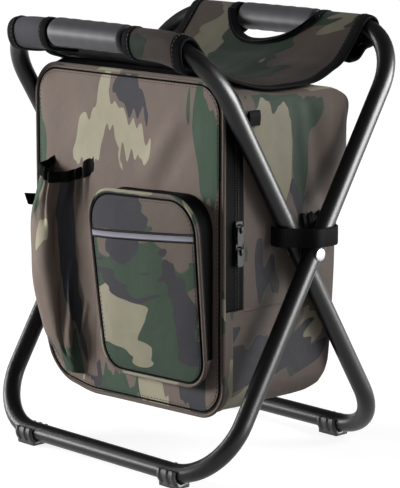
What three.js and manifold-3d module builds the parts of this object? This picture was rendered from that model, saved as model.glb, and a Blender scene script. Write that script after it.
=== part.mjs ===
// Folding stool with a soft cooler bag hung inside its crossed tube frame.
// Millimetres, +Z up, the floor at z = 0, the bag's front towards -Y.
import * as THREE from "three";
import { mergeVertices } from "three/addons/utils/BufferGeometryUtils.js";
import Module from "manifold-3d";

const wasm = await Module();
wasm.setup();

// Clearance between pieces that touch on the real stool
const touch = 0.3;

// Fineness of the shapes
const tubeSides = 14;
const bendSteps = 5;
const seatSteps = 20;
const bagTopSteps = 10;
const bagEdgeSteps = 3;
const cornerSteps = 6;
const footSteps = 4;
const smallSteps = 2;
const padSteps = 8;
const weld = 1e-4;

// Length of a Bezier handle, as a share of the radius, that draws a quarter circle
const arcHandle = 0.55;

// Crossed tube frame: two rounded rectangular loops riveted at the middle of their legs
const tubeRadius = 9;
const tubeWall = 1.2;
const barHeight = 404;
const barSpread = 123;
const bendRadius = 62;
const legClearance = 4;
const spacerThickness = 1.15;
const buttGap = 0.6;
const joinerLength = 60;
const rivetRadius = 3;
const rivetHeadRadius = 6;
const rivetHeadHeight = 1.5;
const rivetShoulder = 1.2;
const rivetCrown = 0.45;
const spacerRadius = 7.5;

// Feet clipped under the bottom bars
const soleThickness = 4;
const soleWidth = 17;
const footLength = 24;
const footRadius = 11.6;
const footLipHeight = 5;
const footRibRise = 1.2;
const footRibLength = 4;
const footRibs = 3;
const frontFootInset = 60.25;
const rearFootInset = 68.5;

// Foam grips on the top bars
const gripRadius = 14.5;
const gripLength = 104;
const gripRound = 3;
const frontGripShift = -8;
const rearGripShift = 0;

// Sling seat with a sleeve round each top bar
const seatInset = 23.5;
const seatThickness = 2.4;
const seatSag = 47;
const seatFrontCurve = 1.9;
const seatRearCurve = 3.1;
const sleeveRadius = 13;
const sleeveOverhang = 2;
const cutoutLength = 112;
const cutoutDepth = 26;
const cutoutSlant = 10;

// Cooler bag
const bagHalfWidth = 132.5;
const bagFront = -79.5;
const bagRear = 72;
const bagRearLean = 16;
const bagBottom = 62;
const bagTopDrop = 38;
const bagCorner = 30;
const bagEdgeRound = 13;
const bagRearBottomRound = 46;
const bagRearTopRound = 27;
const shellThickness = 1.5;
const insulationThickness = 5;
const linerThickness = 0.9;
const pipingWidth = 3;
const pipingDepth = 4;

// Zip that opens the top of the front panel
const flapHingeHeight = 298;
const zipEndHeight = 163;
const zipTapeWidth = 9;
const zipTapeThickness = 1;
const upperSliderHeight = 244;
const sliderGap = 2;

// Front pocket, deeper at its top, with a zipped face
const pocketLeft = -29;
const pocketLeftTaper = 9;
const pocketInset = 10.5;
const pocketBottom = 92;
const pocketHeight = 178;
const pocketBottomDepth = 9;
const pocketTopDepth = 23;
const pocketTopCorner = 32;
const pocketBottomCorner = 26;
const pocketWall = 1.8;
const pocketHingeRise = 26;
const pocketTapeWidth = 5;
const stripHeight = 6.5;
const stripThickness = 0.8;
const stripRise = 136;
const stripTilt = 0.08;
const stripMargin = 5;
const pocketSliderRise = 62;
const pocketSliderWidth = 5;

// Bottle pouch on the front panel's left
const pouchInset = 6.5;
const pouchRight = -45;
const pouchDepth = 27;
const pouchBulge = 12;
const pouchWall = 1.8;
const pouchBottom = 77;
const pouchTop = 277;
const elasticHeight = 14;
const elasticThickness = 2.6;

// Webbing that ties the bag to both pairs of legs
const strapHeight = 18;
const strapThickness = 1.6;
const strapRun = 12;
const strapClearance = 1;
const strapLift = 7;
const strapCorner = 0.75;

// Webbing tab on the bag's right side
const tabY = -50;
const tabZ = 345;
const tabSize = 15;
const tabThickness = 2;
const tabRound = 2;

// Shoulder straps folded against the bag's back
const padWidth = 50;
const padThickness = 9;
const padBow = 5.5;
const padTopX = 44;
const padBottomX = 66;
const padTopRise = 230;
const padBottomRise = 64;
const buckleWidth = 32;
const buckleHeight = 24;
const buckleThickness = 5;
const buckleSlotWidth = 26;
const buckleSlotHeight = 4.5;
const buckleSlotPitch = 9.6;
const buckleRound = 3;
const buckleDrop = 8.4;
const webbingWidth = 25;
const webbingThickness = 1.6;
const webbingLength = 24;

// Zip sliders and their pull tabs
const sliderWidth = 9;
const sliderLength = 13;
const sliderThickness = 3.4;
const sliderNose = 0.7;
const sliderNoseRound = 1;
const sliderBackRound = 1.5;
const archWidth = 2.2;
const archReach = 4.2;
const archRise = 4;
const archBar = 1.3;
const pullWidth = 8;
const pullLength = 15;
const pullThickness = 1.6;
const pullWindow = 4;
const pullRound = 2;
const pullEdge = 0.5;
const pullPlay = 0.6;
const pullGap = 0.5;

// Sizes that follow from the ones above
const innerHalfWidth = bagHalfWidth + legClearance + tubeRadius;
const outerHalfWidth = innerHalfWidth + 2 * tubeRadius + spacerThickness + 2 * touch;
const frontFootX = outerHalfWidth - frontFootInset;
const rearFootX = innerHalfWidth - rearFootInset;
const seatHalfWidth = innerHalfWidth - seatInset;
const sleeveReach = seatHalfWidth + sleeveOverhang;
const bottomBarZ = soleThickness + tubeRadius;
const topBarZ = bottomBarZ + barHeight;
const bagTop = topBarZ - bagTopDrop;
const pivotZ = bottomBarZ + barHeight / 2;
const legTilt = Math.atan2(barSpread, barHeight / 2);
const halfLoop = Math.hypot(barSpread, barHeight / 2);
const stackDepth = shellThickness + insulationThickness + linerThickness + 3 * touch;
const panelFront = bagFront - stackDepth;
const zipY = bagFront + touch + zipTapeWidth + touch / 2;
const lowerSliderHeight = upperSliderHeight - pullLength - archRise - sliderGap;
const pouchLeft = pouchInset - bagHalfWidth;
const pocketRight = bagHalfWidth - pocketInset;
const pocketTilt = Math.atan2(pocketTopDepth - pocketBottomDepth, pocketHeight);
const pocketFaceHeight = pocketHeight / Math.cos(pocketTilt);

// Materials
const camoCloth = { color: 0x7a6e67, roughness: 0.9 };
const blackWebbing = { color: 0x17171a, roughness: 0.85 };
const blackTape = { color: 0x101013, roughness: 0.8 };
const paintedSteel = { color: 0x1b1b1e, roughness: 0.35, metalness: 0.6 };
const brightSteel = { color: 0xd0d0d4, roughness: 0.25, metalness: 1 };
const greyFoam = { color: 0x4a4a50, roughness: 0.9 };
const blackPlastic = { color: 0x121214, roughness: 0.6 };
const whiteFoam = { color: 0xdedede, roughness: 0.95 };
const silverFilm = { color: 0xc8ccd0, roughness: 0.3, metalness: 0.7 };
const greyReflector = { color: 0x9a9c9e, roughness: 0.5 };

const part = new THREE.Group();

// Adds one named piece to a group
function piece(group, name, geometry, look) {
  const mesh = new THREE.Mesh(geometry, new THREE.MeshStandardMaterial(look));
  mesh.name = name;
  group.add(mesh);
  return mesh;
}

// Solid for a boolean, from a closed geometry
function solid(geometry) {
  const bare = geometry.index ? geometry.toNonIndexed() : geometry.clone();
  bare.deleteAttribute("normal");
  bare.deleteAttribute("uv");
  const merged = mergeVertices(bare, weld);
  const mesh = new wasm.Mesh({
    numProp: 3,
    vertProperties: new Float32Array(merged.attributes.position.array),
    triVerts: new Uint32Array(merged.index.array),
  });
  return new wasm.Manifold(mesh);
}

// Geometry back from a solid
function shaped(body) {
  const mesh = body.getMesh();
  const geometry = new THREE.BufferGeometry();
  geometry.setAttribute("position", new THREE.BufferAttribute(mesh.vertProperties, 3));
  geometry.setIndex(new THREE.BufferAttribute(mesh.triVerts, 1));
  geometry.computeVertexNormals();
  return geometry;
}

// Box between two corners
function block(x0, x1, y0, y1, z0, z1) {
  const box = new THREE.BoxGeometry(x1 - x0, y1 - y0, z1 - z0);
  return box.translate((x0 + x1) / 2, (y0 + y1) / 2, (z0 + z1) / 2);
}

// Shape in X and Z carried forward, towards -Y, from the plane y = back
function carryForward(shape, back, depth, curveSegments = cornerSteps) {
  const geometry = new THREE.ExtrudeGeometry(shape, { depth, bevelEnabled: false, curveSegments });
  return geometry.rotateX(Math.PI / 2).translate(0, back, 0);
}

// Shape in Y and Z carried along X from x = left
function carryAcross(shape, left, settings) {
  const geometry = new THREE.ExtrudeGeometry(shape, { bevelEnabled: false, ...settings });
  const swap = new THREE.Matrix4().set(0, 0, 1, left, 1, 0, 0, 0, 0, 1, 0, 0, 0, 0, 0, 1);
  return geometry.applyMatrix4(swap);
}

// Corners [x, y, radius], in counterclockwise order, each side moved out by grow
function growCorners(corners, grow) {
  return corners.map((corner, i) => {
    const [before, after] = [corners.at(i - 1), corners[(i + 1) % corners.length]];
    const here = new THREE.Vector2(corner[0], corner[1]);
    const into = new THREE.Vector2(corner[0] - before[0], corner[1] - before[1]).normalize();
    const out = new THREE.Vector2(after[0] - corner[0], after[1] - corner[1]).normalize();
    const normalIn = new THREE.Vector2(into.y, -into.x);
    const normalOut = new THREE.Vector2(out.y, -out.x);
    const mitre = normalIn.add(normalOut);
    here.addScaledVector(mitre, (2 * grow) / mitre.lengthSq());
    return [here.x, here.y, Math.max(corner[2] + grow, 0)];
  });
}

// Closed outline with its corners rounded
function roundOutline(corners, grow = 0, Kind = THREE.Shape) {
  const grown = growCorners(corners, grow);
  const outline = new Kind();
  grown.forEach(([x, y, radius], i) => {
    const before = grown.at(i - 1);
    const after = grown[(i + 1) % grown.length];
    const start = new THREE.Vector2(before[0] - x, before[1] - y).setLength(radius);
    const end = new THREE.Vector2(after[0] - x, after[1] - y).setLength(radius);
    if (i === 0) {
      outline.moveTo(x + start.x, y + start.y);
    } else {
      outline.lineTo(x + start.x, y + start.y);
    }
    if (radius > 0) {
      outline.bezierCurveTo(
        x + start.x * (1 - arcHandle), y + start.y * (1 - arcHandle),
        x + end.x * (1 - arcHandle), y + end.y * (1 - arcHandle),
        x + end.x, y + end.y,
      );
    }
  });
  outline.closePath();
  return outline;
}

// Outline with a smaller one cut out of it
function ringOutline(corners, inner, outer) {
  const ring = roundOutline(corners, outer);
  ring.holes.push(roundOutline(corners, inner, THREE.Path));
  return ring;
}

function circle(radius, Kind = THREE.Shape) {
  return new Kind().absarc(0, 0, radius, 0, 2 * Math.PI);
}

// Path in a plane across Y, given as stations with a place and a heading
class StationPath extends THREE.Curve {
  constructor(stations) {
    super();
    this.stations = stations;
  }

  at(u) {
    return this.stations[Math.round(u * (this.stations.length - 1))];
  }

  getSpacedPoints() {
    return this.stations.map(({ x, z }) => new THREE.Vector3(x, 0, z));
  }

  computeFrenetFrames(segments) {
    const tangents = [];
    const normals = [];
    const binormals = [];
    for (let i = 0; i <= segments; i += 1) {
      const { heading } = this.at(i / segments);
      const tangent = new THREE.Vector3(Math.cos(heading), 0, Math.sin(heading));
      const normal = new THREE.Vector3(0, 1, 0);
      tangents.push(tangent);
      normals.push(normal);
      binormals.push(new THREE.Vector3().crossVectors(tangent, normal));
    }
    return { tangents, normals, binormals };
  }
}

// Runs of a loop's straight stretches, clockwise from the middle of its top bar
function loopRuns(halfWidth) {
  const bar = halfWidth - bendRadius;
  const leg = halfLoop - bendRadius;
  return [bar, 2 * leg, 2 * bar, 2 * leg, bar];
}

function loopLength(halfWidth) {
  return loopRuns(halfWidth).reduce((sum, run) => sum + run, 2 * Math.PI * bendRadius);
}

// Place and heading on a loop at a distance along it
function loopStation(halfWidth, distance) {
  let [x, z, heading, left] = [0, halfLoop, 0, distance];
  for (const run of loopRuns(halfWidth)) {
    const step = Math.min(left, run);
    x += step * Math.cos(heading);
    z += step * Math.sin(heading);
    left -= step;
    if (left <= 0) {
      break;
    }
    const turn = Math.min(left / bendRadius, Math.PI / 2);
    const centreX = x + bendRadius * Math.sin(heading);
    const centreZ = z - bendRadius * Math.cos(heading);
    heading -= turn;
    x = centreX - bendRadius * Math.sin(heading);
    z = centreZ + bendRadius * Math.cos(heading);
    left -= turn * bendRadius;
    if (left <= 0) {
      break;
    }
  }
  return { x, z, heading };
}

// Stations of a loop between two distances, close together in its bends
function loopStretch(halfWidth, from, to) {
  const bend = (Math.PI / 2) * bendRadius;
  const stops = [from, to];
  let reached = 0;
  for (const run of loopRuns(halfWidth)) {
    reached += run;
    for (let i = 0; i <= bendSteps; i += 1) {
      stops.push(reached + (bend * i) / bendSteps);
    }
    reached += bend;
  }
  const within = stops.filter((stop) => stop >= from && stop <= to);
  within.sort((a, b) => a - b);
  const spread = within.filter((stop, i) => i === 0 || stop - within[i - 1] > touch);
  return spread.map((stop) => loopStation(halfWidth, stop));
}

// Section carried along a stretch of a loop
function sweepLoop(section, halfWidth, from, to) {
  const stations = loopStretch(halfWidth, from, to);
  const extrudePath = new StationPath(stations);
  const steps = stations.length - 1;
  return new THREE.ExtrudeGeometry(section, { extrudePath, steps, curveSegments: tubeSides / 2 });
}

// Both loops, with the way each one leans
const loops = {
  inner: { halfWidth: innerHalfWidth, tilt: legTilt },
  outer: { halfWidth: outerHalfWidth, tilt: -legTilt },
};

// A loop's geometry moved from its own plane to where it stands
function stand(geometry, loop) {
  return geometry.rotateX(loop.tilt).translate(0, 0, pivotZ);
}

// Room that a loop's tube takes up, with the usual clearance round it
function tubeRoom(loop) {
  const room = sweepLoop(circle(tubeRadius + touch), loop.halfWidth, 0, loopLength(loop.halfWidth));
  const seam = block(-buttGap, buttGap, -tubeRadius, tubeRadius, halfLoop - tubeRadius, halfLoop);
  return solid(stand(room, loop)).add(solid(stand(seam, loop)));
}

// One loop of tube, drilled for its rivets and open where its ends meet
function loopTube(loop) {
  const wall = circle(tubeRadius);
  wall.holes.push(circle(tubeRadius - tubeWall, THREE.Path));
  const length = loopLength(loop.halfWidth);
  let tube = solid(sweepLoop(wall, loop.halfWidth, buttGap / 2, length - buttGap / 2));
  for (const side of [-1, 1]) {
    const drillRadius = rivetRadius + touch;
    const drill = new THREE.CylinderGeometry(drillRadius, drillRadius, 3 * tubeRadius, tubeSides);
    drill.rotateZ(Math.PI / 2).translate(side * loop.halfWidth, 0, 0);
    tube = tube.subtract(solid(drill));
  }
  return shaped(tube);
}

// Dowel inside a loop's butt joint
function tubeJoiner() {
  const radius = tubeRadius - tubeWall - touch;
  const dowel = new THREE.CylinderGeometry(radius, radius, joinerLength, tubeSides);
  return dowel.rotateZ(Math.PI / 2).translate(0, 0, halfLoop);
}

// Foam grip round a top bar
function barGrip(shift) {
  const half = gripLength / 2;
  const bore = tubeRadius + touch;
  const profile = [
    [bore, -half],
    [gripRadius - gripRound, -half],
    [gripRadius, -half + gripRound],
    [gripRadius, half - gripRound],
    [gripRadius - gripRound, half],
    [bore, half],
    [bore, -half],
  ].map(([radius, along]) => new THREE.Vector2(radius, along));
  const grip = new THREE.LatheGeometry(profile, 2 * tubeSides);
  return grip.rotateZ(Math.PI / 2).translate(shift, 0, halfLoop);
}

// Rivet through both legs of one side, with its head on the outside
function pivotRivet(side) {
  const inside = innerHalfWidth - tubeRadius - touch;
  const outside = outerHalfWidth + tubeRadius + touch;
  const profile = [
    [0, inside - rivetHeadHeight],
    [rivetHeadRadius, inside - rivetHeadHeight],
    [rivetHeadRadius, inside],
    [rivetRadius, inside],
    [rivetRadius, outside],
    [rivetHeadRadius, outside],
    [rivetHeadRadius - rivetShoulder, outside + rivetHeadHeight - rivetCrown],
    [0, outside + rivetHeadHeight],
  ].map(([radius, along]) => new THREE.Vector2(radius, along));
  const rivet = new THREE.LatheGeometry(profile, tubeSides);
  return rivet.rotateZ(-side * (Math.PI / 2)).translate(0, 0, pivotZ);
}

// Washer that keeps the two legs of one side apart
function pivotSpacer(side) {
  const start = innerHalfWidth + tubeRadius + touch;
  const bore = rivetRadius + touch;
  const profile = [
    [bore, start],
    [spacerRadius, start],
    [spacerRadius, start + spacerThickness],
    [bore, start + spacerThickness],
    [bore, start],
  ].map(([radius, along]) => new THREE.Vector2(radius, along));
  const washer = new THREE.LatheGeometry(profile, tubeSides);
  return washer.rotateZ(-side * (Math.PI / 2)).translate(0, 0, pivotZ);
}

// Section of a foot, round above and flat on the floor
function footSection(radius) {
  const lip = Math.asin(footLipHeight / radius);
  const foot = Math.asin(soleWidth / 2 / radius);
  const section = new THREE.Shape();
  section.moveTo(-soleWidth / 2, -bottomBarZ);
  section.lineTo(soleWidth / 2, -bottomBarZ);
  section.absarc(0, 0, radius, foot - Math.PI / 2, lip, false);
  section.absarc(0, 0, radius, Math.PI - lip, 1.5 * Math.PI - foot, false);
  section.closePath();
  return section;
}

// Clip-on foot under a bottom bar, with ribs round it
function barFoot(x, y, loop) {
  const place = (length, at, radius) => {
    const settings = { depth: length, curveSegments: footSteps };
    const slice = carryAcross(footSection(radius), at - length / 2, settings);
    return solid(slice.translate(x, y, bottomBarZ));
  };
  let foot = place(footLength, 0, footRadius);
  const pitch = (footLength - footRibLength) / (footRibs - 1);
  for (let rib = 0; rib < footRibs; rib += 1) {
    const at = (rib - (footRibs - 1) / 2) * pitch;
    foot = foot.add(place(footRibLength, at, footRadius + footRibRise));
  }
  return shaped(foot.subtract(tubeRoom(loop)));
}

// Height of the middle of the seat cloth over a place between the bars
function seatHeight(y) {
  const curve = y < 0 ? seatFrontCurve : seatRearCurve;
  return topBarZ - seatSag * (1 - Math.abs(y / barSpread) ** curve);
}

// Seat cloth hung between the bars, sewn into sleeves and cut away at the grips
function seatSling() {
  const reach = barSpread - tubeRadius;
  const ys = Array.from({ length: seatSteps + 1 }, (_, i) => reach * ((2 * i) / seatSteps - 1));
  const upper = ys.map((y) => new THREE.Vector2(y, seatHeight(y) + seatThickness / 2));
  const lower = ys.map((y) => new THREE.Vector2(y, seatHeight(y) - seatThickness / 2));
  const section = new THREE.Shape([...lower, ...upper.reverse()]);
  let seat = solid(carryAcross(section, -seatHalfWidth, { depth: 2 * seatHalfWidth }));
  for (const loop of Object.values(loops)) {
    const length = loopLength(loop.halfWidth);
    for (const [from, to] of [[0, sleeveReach], [length - sleeveReach, length]]) {
      const sleeve = sweepLoop(circle(sleeveRadius), loop.halfWidth, from, to);
      seat = seat.add(solid(stand(sleeve, loop)));
    }
  }
  const ends = [
    [-1, frontGripShift],
    [1, rearGripShift],
  ];
  for (const [end, shift] of ends) {
    const half = cutoutLength / 2;
    const edge = barSpread + 2 * sleeveRadius;
    const cutout = new THREE.Shape();
    cutout.moveTo(shift - half, end * edge);
    cutout.lineTo(shift + half, end * edge);
    cutout.lineTo(shift + half, end * (barSpread - sleeveRadius));
    cutout.lineTo(shift + half - cutoutSlant, end * (barSpread - cutoutDepth));
    cutout.lineTo(shift - half + cutoutSlant, end * (barSpread - cutoutDepth));
    cutout.lineTo(shift - half, end * (barSpread - sleeveRadius));
    cutout.closePath();
    const cutter = new THREE.ExtrudeGeometry(cutout, { depth: 2 * seatSag, bevelEnabled: false });
    seat = seat.subtract(solid(cutter.translate(0, 0, topBarZ - seatSag)));
  }
  return shaped(seat.subtract(tubeRoom(loops.inner)).subtract(tubeRoom(loops.outer)));
}

// Outline of the bag from the front
const bagOutline = [
  [bagHalfWidth, bagBottom, bagCorner],
  [bagHalfWidth, bagTop, bagCorner],
  [-bagHalfWidth, bagTop, bagCorner],
  [-bagHalfWidth, bagBottom, bagCorner],
];

// Outline of the bag from its side, drawn in all round and run on past the front
function bagProfile(inset) {
  const under = seatThickness / 2 + touch;
  const rearTop = bagRear - bagRearTopRound;
  const front = bagFront - bagEdgeRound - 2 * stackDepth;
  const rear = bagRear - inset;
  const bottom = bagBottom + inset;
  const profile = new THREE.Shape();
  profile.moveTo(front, bottom);
  profile.lineTo(rear - bagRearLean - bagRearBottomRound, bottom);
  profile.quadraticCurveTo(rear - bagRearLean, bottom, rear - bagRearLean, bottom + bagRearBottomRound);
  const crown = Math.min(bagTop, seatHeight(rearTop) - under) - inset;
  profile.lineTo(rear, crown - bagRearTopRound);
  profile.quadraticCurveTo(rear, crown, rearTop, crown);
  for (let i = 1; i <= bagTopSteps; i += 1) {
    const y = rearTop + ((bagFront - rearTop) * i) / bagTopSteps;
    profile.lineTo(y, Math.min(bagTop, seatHeight(y) - under) - inset);
  }
  profile.lineTo(front, bagTop - inset);
  profile.closePath();
  return profile;
}

// The bag's soft box, drawn in all round, from a plane at its front to its back
function bagBody(inset, front) {
  const half = bagHalfWidth - inset;
  const round = bagEdgeRound;
  const across = carryAcross(bagProfile(inset), round - half, {
    depth: 2 * (half - round),
    bevelEnabled: true,
    bevelThickness: round,
    bevelSize: round,
    bevelOffset: -round,
    bevelSegments: bagEdgeSteps,
    curveSegments: cornerSteps,
  });
  const outline = roundOutline(bagOutline, -inset);
  const along = carryForward(outline, bagRear + round, bagRear + round - front);
  return solid(across).intersect(solid(along));
}

// One layer of the bag's wall, open at the front
function bagLayer(inset, thickness) {
  const room = bagBody(inset + thickness, bagFront - stackDepth);
  return shaped(bagBody(inset, bagFront).subtract(room));
}

// The part of a geometry that lies inside a box
function within(geometry, box) {
  return shaped(solid(geometry).intersect(solid(box)));
}

// Boxes that reach past the whole stool, above or below a height
const far = 2 * barHeight;

function above(height) {
  return block(-far, far, -far, far, height + touch / 2, far);
}

function below(height) {
  return block(-far, far, -far, far, -far, height - touch / 2);
}

// Layers of the front panel from the inside out, each with the plane of its back
const linerBack = bagFront - touch;
const insulationBack = linerBack - linerThickness - touch;
const clothBack = insulationBack - insulationThickness - touch;
const panelLayers = [
  ["liner", linerBack, linerThickness, silverFilm],
  ["insulation", insulationBack, insulationThickness, whiteFoam],
  ["cloth", clothBack, shellThickness, camoCloth],
];

// Band of zip tape lying on the bag's edge, between two planes across Y
function zipBand(front, rear) {
  const ring = ringOutline(bagOutline, touch, touch + zipTapeThickness);
  return within(carryForward(ring, rear, rear - front), above(zipEndHeight));
}

// Flat strip of even width along a line of points
function ribbonOutline(points, width) {
  const sides = points.map((point, i) => {
    const before = points[Math.max(i - 1, 0)];
    const after = points[Math.min(i + 1, points.length - 1)];
    const into = point.clone().sub(before).normalize();
    const out = after.clone().sub(point).normalize();
    const way = into.clone().add(out).normalize();
    const lean = i === 0 || i === points.length - 1 ? 1 : way.dot(out);
    const normal = new THREE.Vector2(-way.y, way.x).multiplyScalar(width / 2 / lean);
    return [point.clone().add(normal), point.clone().sub(normal)];
  });
  const left = sides.map(([one]) => one);
  const right = sides.map(([, other]) => other);
  return new THREE.Shape([...right, ...left.reverse()]);
}

// Webbing round both legs of one side, sewn to the bag in front of them and behind them
function frameStrap(side) {
  const bottom = pivotZ + strapLift;
  const half = strapThickness / 2;
  const spread = (bottom + strapHeight - pivotZ) * Math.tan(legTilt) + tubeRadius / Math.cos(legTilt);
  const reach = spread + strapClearance + half;
  const bagX = bagHalfWidth + touch + half;
  const outX = outerHalfWidth + tubeRadius + strapClearance + half;
  const line = [
    [bagX, -reach - 2 * strapRun],
    [bagX, -reach - strapRun],
    [innerHalfWidth - tubeRadius / 2, -reach],
    [innerHalfWidth + tubeRadius / 2, -reach],
    [outX, -tubeRadius / 2],
    [outX, reach * strapCorner],
    [outerHalfWidth + tubeRadius * strapCorner, reach],
    [innerHalfWidth, reach],
    [bagX, reach + strapRun],
    [bagX, reach + 2 * strapRun],
  ].map(([x, y]) => new THREE.Vector2(side * x, y));
  const band = ribbonOutline(line, strapThickness);
  const strap = new THREE.ExtrudeGeometry(band, { depth: strapHeight, bevelEnabled: false });
  return strap.translate(0, 0, bottom);
}

// Plan of the bottle pouch, from its back on the panel to its bulging front
function pouchPlan(inset, lift) {
  const left = pouchLeft + inset;
  const right = pouchRight - inset;
  const deep = pouchDepth - inset;
  const plan = new THREE.Shape();
  plan.moveTo(left, lift);
  plan.bezierCurveTo(left - pouchBulge, lift, left - pouchBulge, deep, left + pouchBulge, deep);
  plan.lineTo(right - pouchDepth, deep);
  plan.bezierCurveTo(right - pouchBulge / 2, deep, right, deep / 2, right, lift);
  plan.closePath();
  return plan;
}

// Upright wall of the pouch between two heights
function pouchSolid(inset, lift, low, high) {
  const geometry = new THREE.ExtrudeGeometry(pouchPlan(inset, lift), {
    depth: high - low,
    bevelEnabled: false,
    curveSegments: cornerSteps,
  });
  return solid(geometry.rotateX(Math.PI).translate(0, panelFront - touch, high));
}

// Zip slider standing on a tape that faces +X, with the arch that holds its pull tab
function zipSlider(width) {
  const half = sliderLength / 2;
  const back = width / 2;
  const nose = back * sliderNose;
  const outline = roundOutline([
    [nose, -half, sliderNoseRound],
    [back, half, sliderBackRound],
    [-back, half, sliderBackRound],
    [-nose, -half, sliderNoseRound],
  ]);
  const body = carryAcross(outline, 0, { depth: sliderThickness, curveSegments: smallSteps });
  const tip = sliderThickness + archReach;
  const foot = sliderThickness - archBar;
  const bend = archRise / 2;
  const arch = new THREE.Shape();
  arch.moveTo(foot, -archRise);
  arch.lineTo(tip - bend, -archRise);
  arch.lineTo(tip, -bend);
  arch.lineTo(tip, bend);
  arch.lineTo(tip - bend, archRise);
  arch.lineTo(foot, archRise);
  arch.lineTo(foot, archRise - archBar);
  arch.lineTo(tip - bend, archRise - archBar);
  arch.lineTo(tip - archBar, bend);
  arch.lineTo(tip - archBar, -bend);
  arch.lineTo(tip - bend, archBar - archRise);
  arch.lineTo(foot, archBar - archRise);
  arch.closePath();
  return shaped(solid(body).add(solid(carryForward(arch, archWidth / 2, archWidth))));
}

// Pull tab hanging from a slider's arch, turning about its crossbar
function pullTab(width) {
  const bar = pullThickness / 2;
  const half = width / 2;
  const gap = archWidth / 2 + pullPlay;
  const outline = roundOutline([
    [half, -pullLength, pullRound],
    [half, bar, pullEdge],
    [-half, bar, pullEdge],
    [-half, -pullLength, pullRound],
  ]);
  outline.holes.push(new THREE.Path([
    new THREE.Vector2(gap, -bar),
    new THREE.Vector2(-gap, -bar),
    new THREE.Vector2(-gap, -bar - pullWindow),
    new THREE.Vector2(gap, -bar - pullWindow),
  ]));
  const settings = { depth: pullThickness, curveSegments: smallSteps };
  return carryAcross(outline, sliderThickness + pullGap, settings);
}

// Slider and pull tab added together at one place
function addSlider(group, names, place, turn, width) {
  const holder = new THREE.Group();
  holder.position.set(...place);
  holder.rotation.set(...turn);
  group.add(holder);
  piece(holder, names[0], zipSlider(width), blackPlastic);
  piece(holder, names[1], pullTab(Math.min(width, pullWidth)), blackPlastic);
}

// Frame loops with their grips, joiners and feet
const frame = new THREE.Group();
part.add(frame);
const frameParts = [
  ["inner", "front", "rear", frontGripShift, rearFootX, barSpread],
  ["outer", "rear", "front", rearGripShift, frontFootX, -barSpread],
];
for (const [name, top, bottom, gripShift, footX, footY] of frameParts) {
  const loop = loops[name];
  const holder = new THREE.Group();
  holder.position.z = pivotZ;
  holder.rotation.x = loop.tilt;
  frame.add(holder);
  piece(holder, `${name}_tube`, loopTube(loop), paintedSteel);
  piece(holder, `${name}_tube_joiner`, tubeJoiner(), brightSteel);
  piece(holder, `${top}_grip`, barGrip(gripShift), greyFoam);
  piece(frame, `${bottom}_foot_left`, barFoot(-footX, footY, loop), blackPlastic);
  piece(frame, `${bottom}_foot_right`, barFoot(footX, footY, loop), blackPlastic);
}
for (const [name, side] of [["left", -1], ["right", 1]]) {
  piece(frame, `pivot_rivet_${name}`, pivotRivet(side), brightSteel);
  piece(frame, `pivot_spacer_${name}`, pivotSpacer(side), blackPlastic);
}
piece(part, "seat_sling", seatSling(), camoCloth);

// Bag: cloth outside, foam in the wall, film inside, open at the front
const bag = new THREE.Group();
part.add(bag);
const insulationInset = shellThickness + touch;
const linerInset = insulationInset + insulationThickness + touch;
piece(bag, "bag_shell", bagLayer(0, shellThickness), camoCloth);
piece(bag, "bag_insulation", bagLayer(insulationInset, insulationThickness), whiteFoam);
piece(bag, "bag_liner", bagLayer(linerInset, linerThickness), silverFilm);

// Front panel in two parts, the upper one a flap that folds forward
for (const [layer, back, thickness, look] of panelLayers) {
  const sheet = carryForward(roundOutline(bagOutline), back, thickness);
  piece(bag, `front_panel_${layer}`, within(sheet, below(flapHingeHeight)), look);
  piece(bag, `flap_${layer}`, within(sheet, above(flapHingeHeight)), look);
}
const pipingRing = carryForward(
  ringOutline(bagOutline, touch, touch + pipingWidth), panelFront + pipingDepth, pipingDepth,
);
piece(bag, "front_panel_piping", within(pipingRing, below(flapHingeHeight)), camoCloth);
piece(bag, "flap_piping", within(pipingRing, above(flapHingeHeight)), camoCloth);

// Main zip: one tape on the bag, the other on the flap and the panel below it
const frontTape = zipBand(bagFront + touch, zipY - touch / 2);
piece(bag, "zip_tape_bag", zipBand(zipY + touch / 2, zipY + zipTapeWidth), blackTape);
piece(bag, "zip_tape_flap", within(frontTape, above(flapHingeHeight)), blackTape);
const lowerTape = within(frontTape, below(flapHingeHeight));
piece(bag, "zip_tape_left", within(lowerTape, block(-far, 0, -far, far, -far, far)), blackTape);
piece(bag, "zip_tape_right", within(lowerTape, block(0, far, -far, far, -far, far)), blackTape);
const sliderX = bagHalfWidth + zipTapeThickness + 2 * touch;
addSlider(bag, ["upper_slider", "upper_pull"], [sliderX, zipY, upperSliderHeight], [0, 0, 0], sliderWidth);
addSlider(bag, ["lower_slider", "lower_pull"], [sliderX, zipY, lowerSliderHeight], [0, 0, 0], sliderWidth);

// Front pocket, drawn in the plane of its leaning face, with X to the right and Z up the face
const pocket = new THREE.Group();
pocket.position.set(0, panelFront - pocketBottomDepth, pocketBottom);
pocket.rotation.x = pocketTilt;
pocket.updateMatrixWorld();
bag.add(pocket);
const pocketOutline = [
  [pocketRight, 0, pocketBottomCorner],
  [pocketRight, pocketFaceHeight, pocketTopCorner],
  [pocketLeft, pocketFaceHeight, pocketTopCorner],
  [pocketLeft + pocketLeftTaper, 0, pocketBottomCorner],
];
const pocketFace = carryForward(roundOutline(pocketOutline), 0, pocketWall);
piece(pocket, "pocket_panel", within(pocketFace, below(pocketHingeRise)), camoCloth);
piece(pocket, "pocket_flap", within(pocketFace, above(pocketHingeRise)), camoCloth);
const pocketRim = carryForward(
  ringOutline(pocketOutline, touch, touch + pipingWidth), pipingWidth - pocketWall, pipingWidth,
);
piece(pocket, "pocket_panel_piping", within(pocketRim, below(pocketHingeRise)), camoCloth);
piece(pocket, "pocket_flap_piping", within(pocketRim, above(pocketHingeRise)), camoCloth);
const pocketWallRing = ringOutline(pocketOutline, -pocketWall, 0);
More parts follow.
